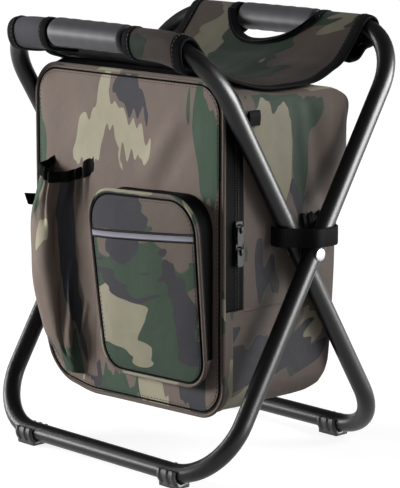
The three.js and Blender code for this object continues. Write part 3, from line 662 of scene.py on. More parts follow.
def camo_cloth(name, shift, levels, turn=0.0, grain=(1.0, 0.62), tone=1.0, lean=()):
    """Woven polyester printed in brown, green, khaki and charcoal patches, read from its flat layout.
    levels make the three printed colours rarer, and each lean favours one round a place in the layout."""
    material, tree, shader = blank_finish(name)
    flat = wire(tree, "ShaderNodeUVMap", uv_map="flat").outputs[0]
    place = wire(tree, "ShaderNodeMapping", {
        "Vector": flat, "Location": (*shift, 0), "Rotation": (0, 0, turn), "Scale": (*grain, 1)}).outputs[0]

    def reckoned(operation, *values):
        """Result of a sum of vectors in the layout."""
        made = wire(tree, "ShaderNodeVectorMath", dict(enumerate(values)), operation=operation)
        return made.outputs["Value" if operation == "LENGTH" else "Vector"]

    def eased(value, start, end, most):
        """Smooth rise from nothing to most between two values."""
        inputs = {"Value": value, "From Min": start, "From Max": end, "To Max": most}
        return wire(tree, "ShaderNodeMapRange", inputs, interpolation_type="SMOOTHSTEP").outputs[0]

    def swayed(vector, stretch, detail, reach):
        """Moves the layout by a noise that is stretched one way, which draws fingers on the patches."""
        drawn = reckoned("MULTIPLY", place, (*stretch, 1))
        sway = wire(tree, "ShaderNodeTexNoise", {"Vector": drawn, "Scale": 1, "Detail": detail},
                    noise_dimensions="2D").outputs["Color"]
        return reckoned("MULTIPLY_ADD", reckoned("ADD", sway, (-0.5, -0.5, 0)), (*reach, 0), vector)

    pushed = swayed(place, (16, 16), 0.0, (0.035, 0.035))
    pushed = swayed(pushed, (75, 14), 1.0, (0.012, 0.060))
    spread = reckoned("ADD", flat, reckoned("SUBTRACT", pushed, place))

    def patches(layer, scale, away, level):
        """Share of one ink at each spot, with crisp edges."""
        moved = reckoned("ADD", pushed, (away, away * 0.37, 0))
        inputs = {"Vector": moved, "Scale": scale, "Detail": 0.6, "Roughness": 0.4}
        field = wire(tree, "ShaderNodeTexNoise", inputs, noise_dimensions="2D").outputs[0]
        for wanted, centre, radii, amount in lean:
            if wanted == layer:
                share = reckoned("DIVIDE", reckoned("SUBTRACT", spread, (*centre, 0)), (*radii, 1))
                near = eased(reckoned("LENGTH", share), 1.25, 0.45, amount)
                field = wire(tree, "ShaderNodeMath", {0: field, 1: near}).outputs[0]
        return eased(field, level - 0.004, level + 0.004, 1)

    colour = (0.192 * tone, 0.152 * tone, 0.130 * tone, 1)
    inks = [
        ("green", 9.0, 1.3, levels[0], (0.062, 0.096, 0.067)),
        ("khaki", 9.5, 4.1, levels[1], (0.394, 0.366, 0.266)),
        ("charcoal", 10.0, 7.9, levels[2], (0.061, 0.060, 0.069)),
    ]
    for layer, scale, away, level, ink in inks:
        dye = (*(part * tone for part in ink), 1)
        colour = two_tone(tree, patches(layer, scale, away, level), colour, dye)
    fade = clouds(tree, flat, 35, 4, "2D")
    warp = wire(tree, "ShaderNodeTexWave", {"Vector": flat, "Scale": 240}, bands_direction="X").outputs["Fac"]
    weft = wire(tree, "ShaderNodeTexWave", {"Vector": flat, "Scale": 240}, bands_direction="Y").outputs["Fac"]
    squares = wire(tree, "ShaderNodeTexChecker", {"Vector": flat, "Scale": 1500}).outputs["Fac"]
    weave = wire(tree, "ShaderNodeMix", {0: squares, 2: warp, 3: weft}).outputs[0]
    shade = ranged(tree, fade, 0.90, 1.10)
    threads = ranged(tree, weave, 0.92, 1.06)
    worn = wire(tree, "ShaderNodeMath", {0: shade, 1: threads}, operation="MULTIPLY").outputs[0]
    dyed = wire(tree, "ShaderNodeVectorMath", {0: colour, "Scale": worn}, operation="SCALE").outputs[0]
    fine = bumped(tree, weave, 0.35, 0.0002)
    plug(tree, shader, {
        "Base Color": dyed,
        "Specular IOR Level": 0.08,
        "Sheen Weight": 0.06,
        "Sheen Roughness": 0.5,
        "Roughness": ranged(tree, fade, 0.62, 0.82),
        "Normal": bumped(tree, clouds(tree, flat, 55, 5, "2D"), 0.3, 0.0025, under=fine),
    })
    return material


def webbing_black(name, shade=0.007, pitch=300):
    """Black woven tape: fine ribs across it and a dull sheen."""
    material, tree, shader = blank_finish(name)
    flat = wire(tree, "ShaderNodeUVMap", uv_map="flat").outputs[0]
    ribs = wire(tree, "ShaderNodeTexWave", {"Vector": flat, "Scale": pitch, "Distortion": 0.6, "Detail": 1},
                bands_direction="X").outputs["Fac"]
    fuzz = clouds(tree, flat, 800, 3, "2D")
    threads = wire(tree, "ShaderNodeMath", {0: ribs, 1: fuzz}, operation="MULTIPLY").outputs[0]
    dark = (shade * 0.7, shade * 0.7, shade * 0.78, 1)
    pale = (shade * 1.9, shade * 1.9, shade * 2.1, 1)
    plug(tree, shader, {
        "Base Color": two_tone(tree, threads, dark, pale),
        "Specular IOR Level": 0.03,
        "Sheen Weight": 0.02,
        "Sheen Roughness": 0.4,
        "Roughness": ranged(tree, fuzz, 0.6, 0.9),
        "Normal": bumped(tree, threads, 0.5, 0.0003),
    })
    return material


def sewn_row_tree():
    """Geometry Nodes tree that sets small rounded grains along a path, at a pitch."""
    tree = bpy.data.node_groups.new("sewn_row", "GeometryNodeTree")
    sockets = [("Path", "Geometry"), ("Pitch", "Float"), ("Grain", "Vector"), ("Finish", "Material")]
    for title, kind in sockets:
        tree.interface.new_socket(title, in_out="INPUT", socket_type=f"NodeSocket{kind}")
    tree.interface.new_socket("Row", in_out="OUTPUT", socket_type="NodeSocketGeometry")
    given = wire(tree, "NodeGroupInput").outputs
    line = wire(tree, "GeometryNodeMeshToCurve", {"Mesh": given["Path"]})
    even = wire(tree, "GeometryNodeResampleCurve", {"Curve": line.outputs[0], "Length": given["Pitch"]},
                mode="LENGTH")
    tangent = wire(tree, "GeometryNodeInputTangent")
    outward = wire(tree, "GeometryNodeInputNamedAttribute", {"Name": "outward"}, data_type="FLOAT_VECTOR")
    along = wire(tree, "FunctionNodeAlignRotationToVector", {"Vector": tangent.outputs[0]}, axis="X")
    stood = wire(tree, "FunctionNodeAlignRotationToVector",
                 {"Rotation": along.outputs[0], "Vector": outward.outputs[0]}, axis="Z", pivot_axis="X")
    grain = wire(tree, "GeometryNodeMeshUVSphere", {"Segments": 8, "Rings": 5, "Radius": 0.5})
    set_out = wire(tree, "GeometryNodeInstanceOnPoints", {
        "Points": even.outputs[0], "Instance": grain.outputs[0], "Rotation": stood.outputs[0],
        "Scale": given["Grain"]})
    real = wire(tree, "GeometryNodeRealizeInstances", {"Geometry": set_out.outputs[0]})
    smooth = wire(tree, "GeometryNodeSetShadeSmooth", {"Geometry": real.outputs[0]})
    dyed = wire(tree, "GeometryNodeSetMaterial", {"Geometry": smooth.outputs[0], "Material": given["Finish"]})
    wire(tree, "NodeGroupOutput", {"Row": dyed.outputs[0]})
    return tree


sewn_row = sewn_row_tree()


def row_of(name, lines, pitch, grain, finish):
    """Rows of stitches or teeth along lines of points with their outward headings, as one plain mesh."""
    points, edges, outs = [], [], []
    for line in lines:
        first = len(points)
        points += [p for p, _ in line]
        outs += [n for _, n in line]
        edges += [(first + i, first + i + 1) for i in range(len(line) - 1)]
    mesh = bpy.data.meshes.new(name)
    mesh.from_pydata(points, edges, [])
    layer = mesh.attributes.new("outward", "FLOAT_VECTOR", "POINT")
    layer.data.foreach_set("vector", [c for out in outs for c in out])
    piece = bpy.data.objects.new(name, mesh)
    scene.collection.objects.link(piece)
    nodes = piece.modifiers.new("row", "NODES")
    nodes.node_group = sewn_row
    given = {"Pitch": pitch, "Grain": grain, "Finish": finish}
    for item in sewn_row.interface.items_tree:
        if item.in_out == "INPUT" and item.name in given:
            nodes[item.identifier] = given[item.name]
    return made_plain(piece)


thread = black_nylon("dark_thread", 0.010)
stitch = (0.0029, 0.0008, 0.0007)
stitch_pitch = 0.0042
binding_half_wall = 0.0014
binding_seams = []


def bound_edge(name, edge, inward, reach=0.0105):
    """Tape folded over a cloth's edge: edge points, and for each a point further into the cloth."""
    rows, flat, over, under = [], [], [], []
    length = 0.0
    for i, point in enumerate(edge):
        before, after = edge[max(i - 1, 0)], edge[min(i + 1, len(edge) - 1)]
        length += (point - before).length
        way = (after - before).normalized()
        into = inward[i] - point
        into = (into - way * into.dot(way)).normalized()
        up = way.cross(into).normalized()
        tuck = [(reach, 0.75), (reach * 0.98, 1.0), (reach * 0.5, 1.06), (0.0004, 1.0), (-0.0008, 0.55),
                (-0.001, 0.0), (-0.0008, -0.55), (0.0004, -1.0), (reach * 0.5, -1.06), (reach * 0.98, -1.0),
                (reach, -0.75)]
        rows.append([point + into * a + up * binding_half_wall * b for a, b in tuck])
        flat.append([(length, k * 0.002) for k in range(len(tuck))])
        over.append((point + into * reach * 0.8 + up * binding_half_wall * 1.1, up))
        under.append((point + into * reach * 0.8 - up * binding_half_wall * 1.1, -up))
    binding_seams.extend([over, under])
    return skin(name, rows, flat=flat)


binding_cloth = webbing_black("black_binding_tape")
tapes = []
for panel, side in ((seat_panels[0], -1), (seat_panels[1], 1)):
    count = len(full_line)
    verts = panel.data.vertices
    free = [verts[seat_columns * count + j].co.copy() for j in range(count)]
    inner = [verts[(seat_columns - 1) * count + j].co.copy() for j in range(count)]
    tapes.append(bound_edge(f"edge_tape_{side + 1}", free, inner))
    cuff = [verts[j].co.copy() for j in range(count)]
    cuff_in = [verts[count + j].co.copy() for j in range(count)]
    last = len(front_wrap) + 1
    first = len(front_wrap) + len(sheet_line) - 1
    tapes.append(bound_edge(f"front_cuff_{side + 1}", cuff[:last], cuff_in[:last], reach=0.009))
    tapes.append(bound_edge(f"rear_cuff_{side + 1}", cuff[first:], cuff_in[first:], reach=0.009))
below_front = [p + Vector((0, 0.01, -0.004)) for p in edge_front]
below_rear = [p + Vector((0, -0.01, -0.004)) for p in edge_rear]
tapes.append(bound_edge("front_cut_tape", edge_front, below_front, reach=0.0085))
tapes.append(bound_edge("rear_cut_tape", edge_rear, below_rear, reach=0.0085))

seat = welded(joined("seat_cloth", seat_panels), 0.0004, way=Vector((0, 0, 1)))
seat_lean = [
    ("green", (0.075, 0.040), (0.03, 0.02), 0.25), ("green", (0.10, 0.06), (0.04, 0.03), -0.25),
    ("khaki", (0.085, 0.335), (0.026, 0.014), 0.24), ("khaki", (0.025, 0.300), (0.010, 0.022), 0.24),
    ("khaki", (-0.065, 0.365), (0.016, 0.012), 0.20), ("green", (-0.06, 0.37), (0.04, 0.03), -0.20),
]
sleeve_lean = [
    ("charcoal", (-0.09, 0.050), (0.20, 0.20), 0.40), ("charcoal", (-0.066, 0.045), (0.012, 0.02), -0.35),
]


def black_coating_and_shade():
    """The cloth's back: a thin black rubbery coating on the weave, whose black is also painted shade where
    the underside shows under the front grip.
    """
    material, tree, shader = blank_finish("black_cloth_back_and_shade")
    flat = wire(tree, "ShaderNodeUVMap", uv_map="flat").outputs[0]
    squares = wire(tree, "ShaderNodeTexChecker", {"Vector": flat, "Scale": 1500}).outputs["Fac"]
    cloud = clouds(tree, flat, 60, 4, "2D")
    plug(tree, shader, {
        "Base Color": two_tone(tree, cloud, (0.008, 0.008, 0.009, 1), (0.016, 0.016, 0.018, 1)),
        "Specular IOR Level": 0.2,
        "Normal": bumped(tree, squares, 0.3, 0.0002),
    })
    return material


# The seat's print is darkened to a quarter of its tone: painted shade for the little light that falls on the
# seat's top.
seat_camo_painted_shade = camo_cloth("seat_camouflage_painted_shade", (0.31, 0.77), (0.47, 0.68, 0.68), turn=1.35, tone=0.25,
                       lean=seat_lean)
sleeve_camo = camo_cloth("sleeve_camouflage", (1.7, 0.2), (0.7, 0.74, 0.55), lean=sleeve_lean)
dressed(seat, seat_camo_painted_shade, black_coating_and_shade())
seat = finished(seat, thickness=0.0014, lined=True)
seat.data.materials.append(sleeve_camo)
for face in seat.data.polygons:
    if face.material_index == 0 and face.center.x < 0 and face.center.y < -0.1:
        face.material_index = 2
binding = finished(joined("seat_binding", tapes), thickness=0.0006, levels=1)
dressed(binding, binding_cloth)
binding_stitches = row_of("binding_stitches", binding_seams, stitch_pitch, stitch, thread)
binding = joined("seat_binding", [binding, binding_stitches])
for piece in (seat, binding):
    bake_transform(piece)
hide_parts("seat_sling")

# Bag: a soft box of camouflage polyester, sewn from side, base and back panels and open at the front. It
# keeps the shape of its foam wall, with slack folds where the frame presses it.
bag_low, bag_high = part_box("bag_shell")
bag_half_width = bag_high.x
bag_front = bag_low.y
cloth_wall = 0.0012
bag_corner = 0.030
bag_cell = 0.005
base_seam_height = 0.163


def plate(name, start, along, across, flat_start, flat_along, flat_across):
    """Flat grid of square cells from a corner, with its place in the cloth's flat layout."""
    count_along = round(along.length / bag_cell)
    count_across = round(across.length / bag_cell)
    rows, flat = [], []
    for i in range(count_along + 1):
        a = i / count_along
        rows.append([start + along * a + across * (j / count_across) for j in range(count_across + 1)])
        flat.append([flat_start + flat_along * a * along.length
                     + flat_across * (j / count_across) * across.length
                     for j in range(count_across + 1)])
    return skin(name, rows, flat=flat)


def bag_box():
    """A box a little bigger than the bag, open at its front."""
    x, rear, low, high = 0.150, 0.090, 0.045, 0.395
    deep = Vector((0, rear - bag_front, 0))
    wide = Vector((2 * x, 0, 0))
    tall = Vector((0, 0, high - low))
    u, v = Vector((1, 0)), Vector((0, 1))
    corners = [
        ("right", Vector((x, bag_front, low)), tall, deep, Vector((bag_front, low)), v, u),
        ("left", Vector((-x, bag_front, low)), tall, deep, Vector((bag_front + 0.7, low)), v, u),
        ("top", Vector((-x, bag_front, high)), wide, deep, Vector((bag_front, high)), v, u),
        ("bottom", Vector((-x, bag_front, low)), wide, deep, Vector((bag_front, low - 0.3)), v, u),
        ("back", Vector((-x, rear, low)), wide, tall, Vector((1.1, low)), u, v),
    ]
    return [plate(*corner) for corner in corners]


def drawn_on(piece, node):
    """Pulls a mesh on to a solid and smooths it, with its open front edge held."""
    welded(piece, 0.0005, way=Vector((1, 0, 0)))
    wrap = piece.modifiers.new("wrap", "SHRINKWRAP")
    wrap.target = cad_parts[node]
    wrap.wrap_method = "NEAREST_SURFACEPOINT"
    held = piece.vertex_groups.new(name="held")
    loose = [v.index for v in piece.data.vertices if v.co.y > bag_front + 0.004]
    held.add(loose, 1.0, "REPLACE")
    ease = piece.modifiers.new("ease", "SMOOTH")
    ease.factor = 0.5
    ease.iterations = 8
    ease.vertex_group = "held"
    made_plain(piece)
    piece.vertex_groups.clear()
    return piece


def side_folds(y, z):
    """Depth of the folds in the bag's side walls: upright ones at the rear, a pull at the webbing."""
    fan = y + 0.16 * (z - 0.25)
    upright = math.sin(fan * 190) * 0.5 + math.sin(fan * 310 + 1.7) * 0.3
    rise = gentle(0.20, 0.27, z) * (1 - gentle(0.345, 0.372, z)) * gentle(-0.03, 0.02, y)
    gathers = math.sin(y * 420 + 8 * z) * gentle(0.325, 0.36, z) * gentle(0.02, 0.05, y)
    slack = noise.noise(Vector((y * 16, z * 9, 5.2))) * 0.0026
    tuck = -0.0035 * math.exp(-((z - 0.231) / 0.022) ** 2)
    tuck *= gentle(-0.05, -0.01, y) * (1 - gentle(0.05, 0.07, y))
    return -0.0028 * upright * rise + 0.0012 * gathers + slack + tuck


def settled(p):
    """Where a point of the bag lies as it hangs: low on its left, with its lower left corner drawn up and
    its top pressed."""
    draw = 0.015 * gentle(0.0, 0.11, -p.x) * (1 - gentle(0.07, 0.19, p.z))
    corner = gentle(0.05, 0.135, -p.x) * (1 - gentle(0.05, 0.125, p.z))
    slope = 0.008 + 0.020 * (1 - gentle(0.12, 0.33, p.z))
    press = gentle(0.06, 0.12, p.x) * gentle(0.33, 0.366, p.z) * (1 - gentle(0.055, 0.09, abs(p.y - 0.005)))
    rise = slope * (p.x - 0.08) + 0.010 * corner - 0.0055 * press
    return Vector((p.x + draw + 0.008 * corner, p.y, p.z + rise))


def hung(piece):
    for vert in piece.data.vertices:
        vert.co = settled(vert.co)
    return piece


bag = drawn_on(joined("bag_cloth", bag_box()), "bag_shell")
for vert in bag.data.vertices:
    p = vert.co.copy()
    hold = gentle(bag_front + 0.016, bag_front + 0.034, p.y)
    at_side = gentle(0.085, 0.118, abs(p.x))
    at_back = gentle(0.03, 0.055, p.y)
    upper = gentle(0.25, 0.30, p.z) * (1 - 0.7 * gentle(0.35, 0.38, p.z))
    below = 1 - gentle(0.062, 0.085, p.z)
    away_from_strap = 1 - math.exp(-((p.z - 0.231) / 0.02) ** 2) * (1 - gentle(0.05, 0.066, p.y))
    push = side_folds(p.y * (1 if p.x > 0 else 0.93), p.z) * hold
    push += (0.007 * upper * gentle(0.005, 0.055, p.y) + 0.002 * gentle(0.02, 0.05, p.y)) * away_from_strap
    vert.co.x += math.copysign(push * at_side, p.x)
    middle = at_back * (1 - gentle(0.10, 0.125, abs(p.x)))
    vert.co.y += middle * (noise.noise(Vector((p.x * 13, p.z * 10, 1.3))) * 0.0025 - 0.001)
    vert.co.y += 0.0085 * at_back * gentle(0.090, 0.122, abs(p.x)) * (1 - 0.6 * gentle(0.355, 0.38, p.z))
    vert.co.z += below * hold * noise.noise(Vector((p.x * 15, p.y * 18, 8.3))) * 0.0018
hung(bag)
side_lean = [
    ("khaki", (-0.030, 0.350), (0.012, 0.030), 0.30), ("khaki", (-0.010, 0.310), (0.014, 0.040), 0.30),
    ("green", (0.016, 0.310), (0.012, 0.060), 0.26), ("khaki", (0.062, 0.350), (0.012, 0.034), 0.28),
    ("charcoal", (0.020, 0.262), (0.022, 0.020), 0.22), ("green", (-0.012, 0.268), (0.016, 0.024), 0.22),
    ("green", (-0.062, 0.240), (0.012, 0.050), 0.24), ("charcoal", (-0.030, 0.190), (0.024, 0.030), 0.24),
    ("green", (0.055, 0.330), (0.030, 0.060), -0.20),
]
base_lean = [
    ("khaki", (0.030, 0.138), (0.035, 0.018), 0.24), ("charcoal", (0.030, 0.105), (0.03, 0.014), 0.20),
    ("khaki", (-0.030, 0.085), (0.035, 0.014), 0.20), ("charcoal", (-0.052, 0.110), (0.012, 0.03), 0.18),
]
side_camo = camo_cloth("side_camouflage", (0.42, 0.13), (0.73, 0.75, 0.78), turn=0.25, lean=side_lean)
base_camo = camo_cloth("base_camouflage", (1.93, 0.58), (0.74, 0.70, 0.70), turn=1.2, lean=base_lean)
dressed(bag, side_camo, base_camo)
for face in bag.data.polygons:
    face.material_index = 1 if face.center.z < base_seam_height else 0


def surface_of(piece):
    """Search tree of a piece's faces, for laying other things on it."""
    mesh = piece.data
    return BVHTree.FromPolygons([v.co for v in mesh.vertices], [f.vertices[:] for f in mesh.polygons])


bag_surface = surface_of(bag)
lining_mesh = bag.data.copy()
bag = finished(bag, thickness=cloth_wall, levels=1, offset=-1.0)
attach(bag, "bag")
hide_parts("bag_shell")

# Lining of the bag: a foam wall faced with silver film, with its front edge turned in and taped. It follows
# the cloth at a small gap.
lining_gap = 0.0022
lining_depth = 0.0052
lining_set_back = 0.004


def silver_film():
    material, tree, shader = blank_finish("silver_film")
    place = wire(tree, "ShaderNodeTexCoord").outputs["Object"]
    crumple = wire(tree, "ShaderNodeTexVoronoi", {"Vector": place, "Scale": 90}, feature="F1").outputs[0]
    ripple = clouds(tree, place, 60, 5)
    plug(tree, shader, {
        "Base Color": (0.64, 0.65, 0.67, 1),
        "Metallic": 0.3,
        "Roughness": ranged(tree, ripple, 0.32, 0.52),
        "Normal": bumped(tree, ripple, 0.3, 0.002, under=bumped(tree, crumple, 0.25, 0.0012)),
    })
    return material


film = silver_film()
lining = bpy.data.objects.new("bag_lining", lining_mesh)
scene.collection.objects.link(lining)
normals = [v.normal.copy() for v in lining_mesh.vertices]
for vert, normal in zip(lining_mesh.vertices, normals):
    vert.co -= Vector((normal.x, max(normal.y, 0), normal.z)) * lining_gap
    vert.co.y = max(vert.co.y, bag_front + lining_set_back)
lining_mesh.materials.clear()
lining = finished(lining, thickness=lining_depth, levels=0, offset=-1.0)
for vert in lining.data.vertices:
    nearest, outward, _, _ = bag_surface.find_nearest(vert.co)
    if (nearest - vert.co).dot(outward) < lining_gap:
        vert.co = nearest - outward * lining_gap
dressed(lining, film)
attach(lining, "bag")
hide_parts("bag_insulation", "bag_liner")

# Base seam: the side and base panels meet in a folded lip that runs round the bag. It lies on the cloth, a
# little proud of it.
seam_bead = 0.0011


def on_side(side, y, z):
    """Point of the bag's side wall at a depth and height."""
    hit = bag_surface.ray_cast(Vector((side * 0.25, y, z)), Vector((-side, 0, 0)))
    return hit[0]


def on_back(x, z):
    """Point of the bag's back wall."""
    return bag_surface.ray_cast(Vector((x, 0.25, z)), Vector((0, -1, 0)))[0]


def bead(name, path, radius, sides, closed=False):
    """Round cord along a path, with its length and girth as its flat layout."""
    count = len(path)
    rows, flat = [], []
    length = 0.0
    up = Vector((0, 0, 1))
    for i, point in enumerate(path):
        before = path[(i - 1) % count] if closed else path[max(i - 1, 0)]
        after = path[(i + 1) % count] if closed else path[min(i + 1, count - 1)]
        way = (after - before).normalized()
        if i == 0:
            up = way.orthogonal().normalized()
        else:
            length += (point - path[i - 1]).length
        up = (up - way * up.dot(way)).normalized()
        third = way.cross(up)
        turns = [2 * math.pi * k / sides for k in range(sides + 1)]
        rows.append([point + (up * math.cos(t) + third * math.sin(t)) * radius for t in turns])
        flat.append([(t * radius, length) for t in turns])
    if closed:
        rows.append([p.copy() for p in rows[0]])
        flat.append([(u, length + (path[0] - path[-1]).length) for u, v in flat[0]])
    return skin(name, rows, flat=flat)


def seam_path():
    right = [on_side(1, -0.058 + 0.1 * i / 24, base_seam_height) for i in range(25)]
    left = [on_side(-1, -0.058 + 0.1 * i / 24, base_seam_height) for i in range(25)]
    back = [on_back(0.112 - 0.224 * i / 44, base_seam_height) for i in range(45)]
    return through(right + back + left[::-1], 220)


base_seam = bead("base_seam", seam_path(), seam_bead, sides=8)
dressed(base_seam, base_camo)
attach(base_seam, "bag")

# Front panel: camouflage cloth over foam, its upper part a flap that unzips and folds forward. A piped edge
# runs all round it. The cloth is one piece across the fold.
panel_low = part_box("front_panel_cloth")[0]
panel_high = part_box("flap_cloth")[1]
panel_front = panel_low.y
panel_corners = [
    (bag_half_width, panel_low.z, bag_corner), (bag_half_width, panel_high.z, bag_corner),
    (-bag_half_width, panel_high.z, bag_corner), (-bag_half_width, panel_low.z, bag_corner),
]
piping_radius = 0.0019
corner_steps = 14


def rounded(corners, grow=0.0, spacing=0.004):
    """Closed outline with rounded corners, moved out by grow, as points with their outward headings."""
    moved = []
    for i, (x, z, radius) in enumerate(corners):
        before, after = corners[i - 1], corners[(i + 1) % len(corners)]
        into = (Vector((x, z)) - Vector(before[:2])).normalized()
        out = (Vector(after[:2]) - Vector((x, z))).normalized()
        mitre = Vector((into.y, -into.x)) + Vector((out.y, -out.x))
        moved.append((Vector((x, z)) + mitre * (2 * grow / mitre.length_squared), max(radius + grow, 0.0)))
    points = []
    for i, (here, radius) in enumerate(moved):
        before, after = moved[i - 1][0], moved[(i + 1) % len(moved)]
        start = here + (before - here).normalized() * radius
        end = here + (after[0] - here).normalized() * radius
        for k in range(corner_steps + 1):
            t = k / corner_steps
            a, b = start.lerp(here, 0.55), end.lerp(here, 0.55)
            points.append(start * (1 - t) ** 3 + a * 3 * t * (1 - t) ** 2
                          + b * 3 * t * t * (1 - t) + end * t ** 3)
        reach = after[0] + (here - after[0]).normalized() * after[1]
        count = max(1, round((reach - end).length / spacing))
        points += [end.lerp(reach, k / count) for k in range(1, count)]
    found = []
    for i, point in enumerate(points):
        way = points[(i + 1) % len(points)] - points[i - 1]
        found.append((point, Vector((way.y, -way.x)).normalized()))
    return found


def span(outline, z):
    """Left and right ends of an outline at a height."""
    hits = []
    for (a, _), (b, _) in zip(outline, outline[1:] + outline[:1]):
        if (a.y - z) * (b.y - z) <= 0 and abs(a.y - b.y) > 1e-9:
            hits.append(a.x + (b.x - a.x) * (z - a.y) / (b.y - a.y))
    return min(hits), max(hits)


def filled(name, outline, place, rows_count, columns):
    """Grid that fills an outline. place gives the point for a spot and its shares of the way out."""
    low = min(p.y for p, _ in outline)
    high = max(p.y for p, _ in outline)
    rows, flat = [], []
    for i in range(rows_count + 1):
        t = i / rows_count
        t = 0.55 * t + 0.45 * (1 - math.cos(math.pi * t)) / 2
        z = low + (high - low) * t
        left, right = span(outline, min(max(z, low + 1e-5), high - 1e-5))
        row, spots = [], []
        for j in range(columns + 1):
            s = j / columns
            s = 0.6 * s + 0.4 * (1 - math.cos(math.pi * s)) / 2
            x = left + (right - left) * s
            row.append(place(x, z, abs(2 * s - 1), abs(2 * t - 1)))
            spots.append((x, z))
        rows.append(row)
        flat.append(spots)
    return skin(name, rows, flat=flat)


def ridge(x, z, start, end, width):
    """Height of a soft fold along a line, 1 on the line."""
    way = Vector(end) - Vector(start)
    spot = Vector((x, z)) - Vector(start)
    along = min(1, max(0, spot.dot(way) / way.length_squared))
    away = (spot - way * along).length
    return math.exp(-(away / width) ** 2) * math.sin(math.pi * (0.15 + 0.7 * along))


def panel_depth(x, z):
    """How far the panel's cloth stands proud of its foam: softly crowned, with a few slack folds."""
    soft = noise.noise(Vector((x * 17, z * 14, 2.2))) * 0.0013
    slack = 0.0022 * ridge(x, z, (0.030, 0.282), (0.078, 0.345), 0.011)
    slack -= 0.0016 * ridge(x, z, (0.052, 0.276), (0.098, 0.338), 0.010)
    slack += 0.0013 * ridge(x, z, (-0.085, 0.300), (-0.040, 0.350), 0.012)
    return soft + slack


def panel_spot(x, z, s, t):
    crown = (1 - s ** 6) * (1 - t ** 6)
    tuck = 0.0022 * (max(s, t) ** 30)
    return Vector((x, panel_front - 0.0006 - 0.0012 * crown - panel_depth(x, z) * crown + tuck, z))


front_lean = [
    ("khaki", (-0.030, 0.362), (0.014, 0.034), 0.40), ("khaki", (-0.052, 0.312), (0.034, 0.036), 0.46),
    ("khaki", (-0.004, 0.332), (0.046, 0.022), 0.46), ("khaki", (0.014, 0.296), (0.025, 0.048), 0.48),
    ("khaki", (-0.018, 0.296), (0.012, 0.022), -0.50), ("charcoal", (0.008, 0.372), (0.032, 0.030), 0.52),
    ("green", (0.030, 0.345), (0.050, 0.050), -0.30), ("charcoal", (-0.005, 0.262), (0.012, 0.026), 0.40),
    ("green", (0.114, 0.310), (0.024, 0.060), 0.40), ("green", (0.110, 0.230), (0.020, 0.030), -0.20),
    ("green", (-0.133, 0.320), (0.012, 0.080), 0.38), ("khaki", (-0.128, 0.375), (0.010, 0.022), 0.38),
    ("green", (-0.020, 0.072), (0.050, 0.022), 0.36), ("khaki", (0.042, 0.078), (0.026, 0.024), 0.38),
    ("khaki", (-0.072, 0.085), (0.014, 0.024), 0.38), ("charcoal", (0.105, 0.080), (0.026, 0.030), 0.36),
    ("charcoal", (-0.046, 0.088), (0.012, 0.024), 0.36),
]
front_camo = camo_cloth("front_camouflage", (0.05, 0.22), (0.79, 0.79, 0.79), turn=0.1, lean=front_lean)
panel_outline = rounded(panel_corners)
front = filled("front_cloth", panel_outline, panel_spot, 110, 84)
front = hung(finished(front, thickness=cloth_wall, levels=1))
dressed(front, front_camo)
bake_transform(front)
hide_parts("front_panel_cloth", "flap_cloth")


def laid_on(piece, outline, lift=0.0):
    """Spots of an outline laid on a hung piece from in front, each with the outward heading of its face."""
    surface = surface_of(piece)
    line = []
    for spot in outline:
        spot = settled(spot)
        hit, out, _, _ = surface.ray_cast(Vector((spot.x, -1, spot.z)), Vector((0, 1, 0)))
        if hit:
            line.append((hit + out * lift, out))
    return line


piping_path = [Vector((p.x, panel_front + 0.0012, p.y)) for p, _ in rounded(panel_corners, 0.0014)]
piping = hung(bead("front_piping", piping_path, piping_radius, sides=12, closed=True))
# Inside the piping runs a thin black cord: a welt, whose black is also a painted shadow for the groove
# between the piping and the cloth.
welt_and_groove_shade_cloth = webbing_black("black_welt_and_groove_shade", shade=0.004)
welt_and_shade_path = [Vector((p.x, panel_front, p.y)) for p, _ in rounded(panel_corners, -0.0030)]
welt_and_shade_line = bead("front_welt_and_shade_line", [p for p, _ in laid_on(front, welt_and_shade_path)], 0.0010, sides=8, closed=True)
dressed(welt_and_shade_line, welt_and_groove_shade_cloth)
dressed(piping, camo_cloth("piping_camouflage", (3.1, 0.4), (0.74, 0.72, 0.72), grain=(1.0, 1.3), tone=0.75))
piping = joined("front_piping", [piping, welt_and_shade_line])
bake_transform(piping)
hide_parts("front_panel_piping", "flap_piping")

# Lining of the panel and its flap: a foam pad faced with silver film. It is one piece across the fold
# too.
pad_front = panel_front + 0.0016
pad_back = bag_front - 0.0006


def pad_rows():
    ring = rounded(panel_corners, -0.0016)
    rows = []
    for depth, inset in [(pad_front, 0), (pad_back - 0.0008, 0), (pad_back, 0.0012)]:
        rows.append([Vector((p.x - n.x * inset, depth, p.y - n.y * inset)) for p, n in ring])
    return rows


pad_edge = skin("pad_edge", pad_rows(), ring=True)
pad_inner = [(p - n * 0.0012, n) for p, n in rounded(panel_corners, -0.0016)]


def pad_spot(x, z, s, t):
    """Point of the pad's face, which lies a little deeper in its middle."""
    return Vector((x, pad_back + 0.0006 * (1 - s ** 8) * (1 - t ** 8), z))


pad_face = filled("pad_face", pad_inner, pad_spot, 70, 50)
pad = welded(joined("front_lining", [pad_edge, pad_face]), 0.0002)
hung(pad)
dressed(pad, film)
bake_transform(pad)
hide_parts("front_panel_insulation", "front_panel_liner", "flap_insulation", "flap_liner")

# Main zip: black tape on the bag's edge and on the panel's, with a nylon coil between them, from the base
# seam on the right over the top to the base seam on the left. A thin camouflage fold covers the edge of
# the rear tape.
zip_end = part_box("zip_tape_right")[0].z
zip_line = (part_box("zip_tape_bag")[0].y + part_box("zip_tape_flap")[1].y) / 2
tape_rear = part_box("zip_tape_bag")[1].y
tape_lift = 0.0003
tape_top = 0.0013
tape_puff_top = 0.0042
tape_puff_left = 0.0022
tooth_pitch = 0.0024
tooth_size = (0.0013, 0.0030, 0.0015)


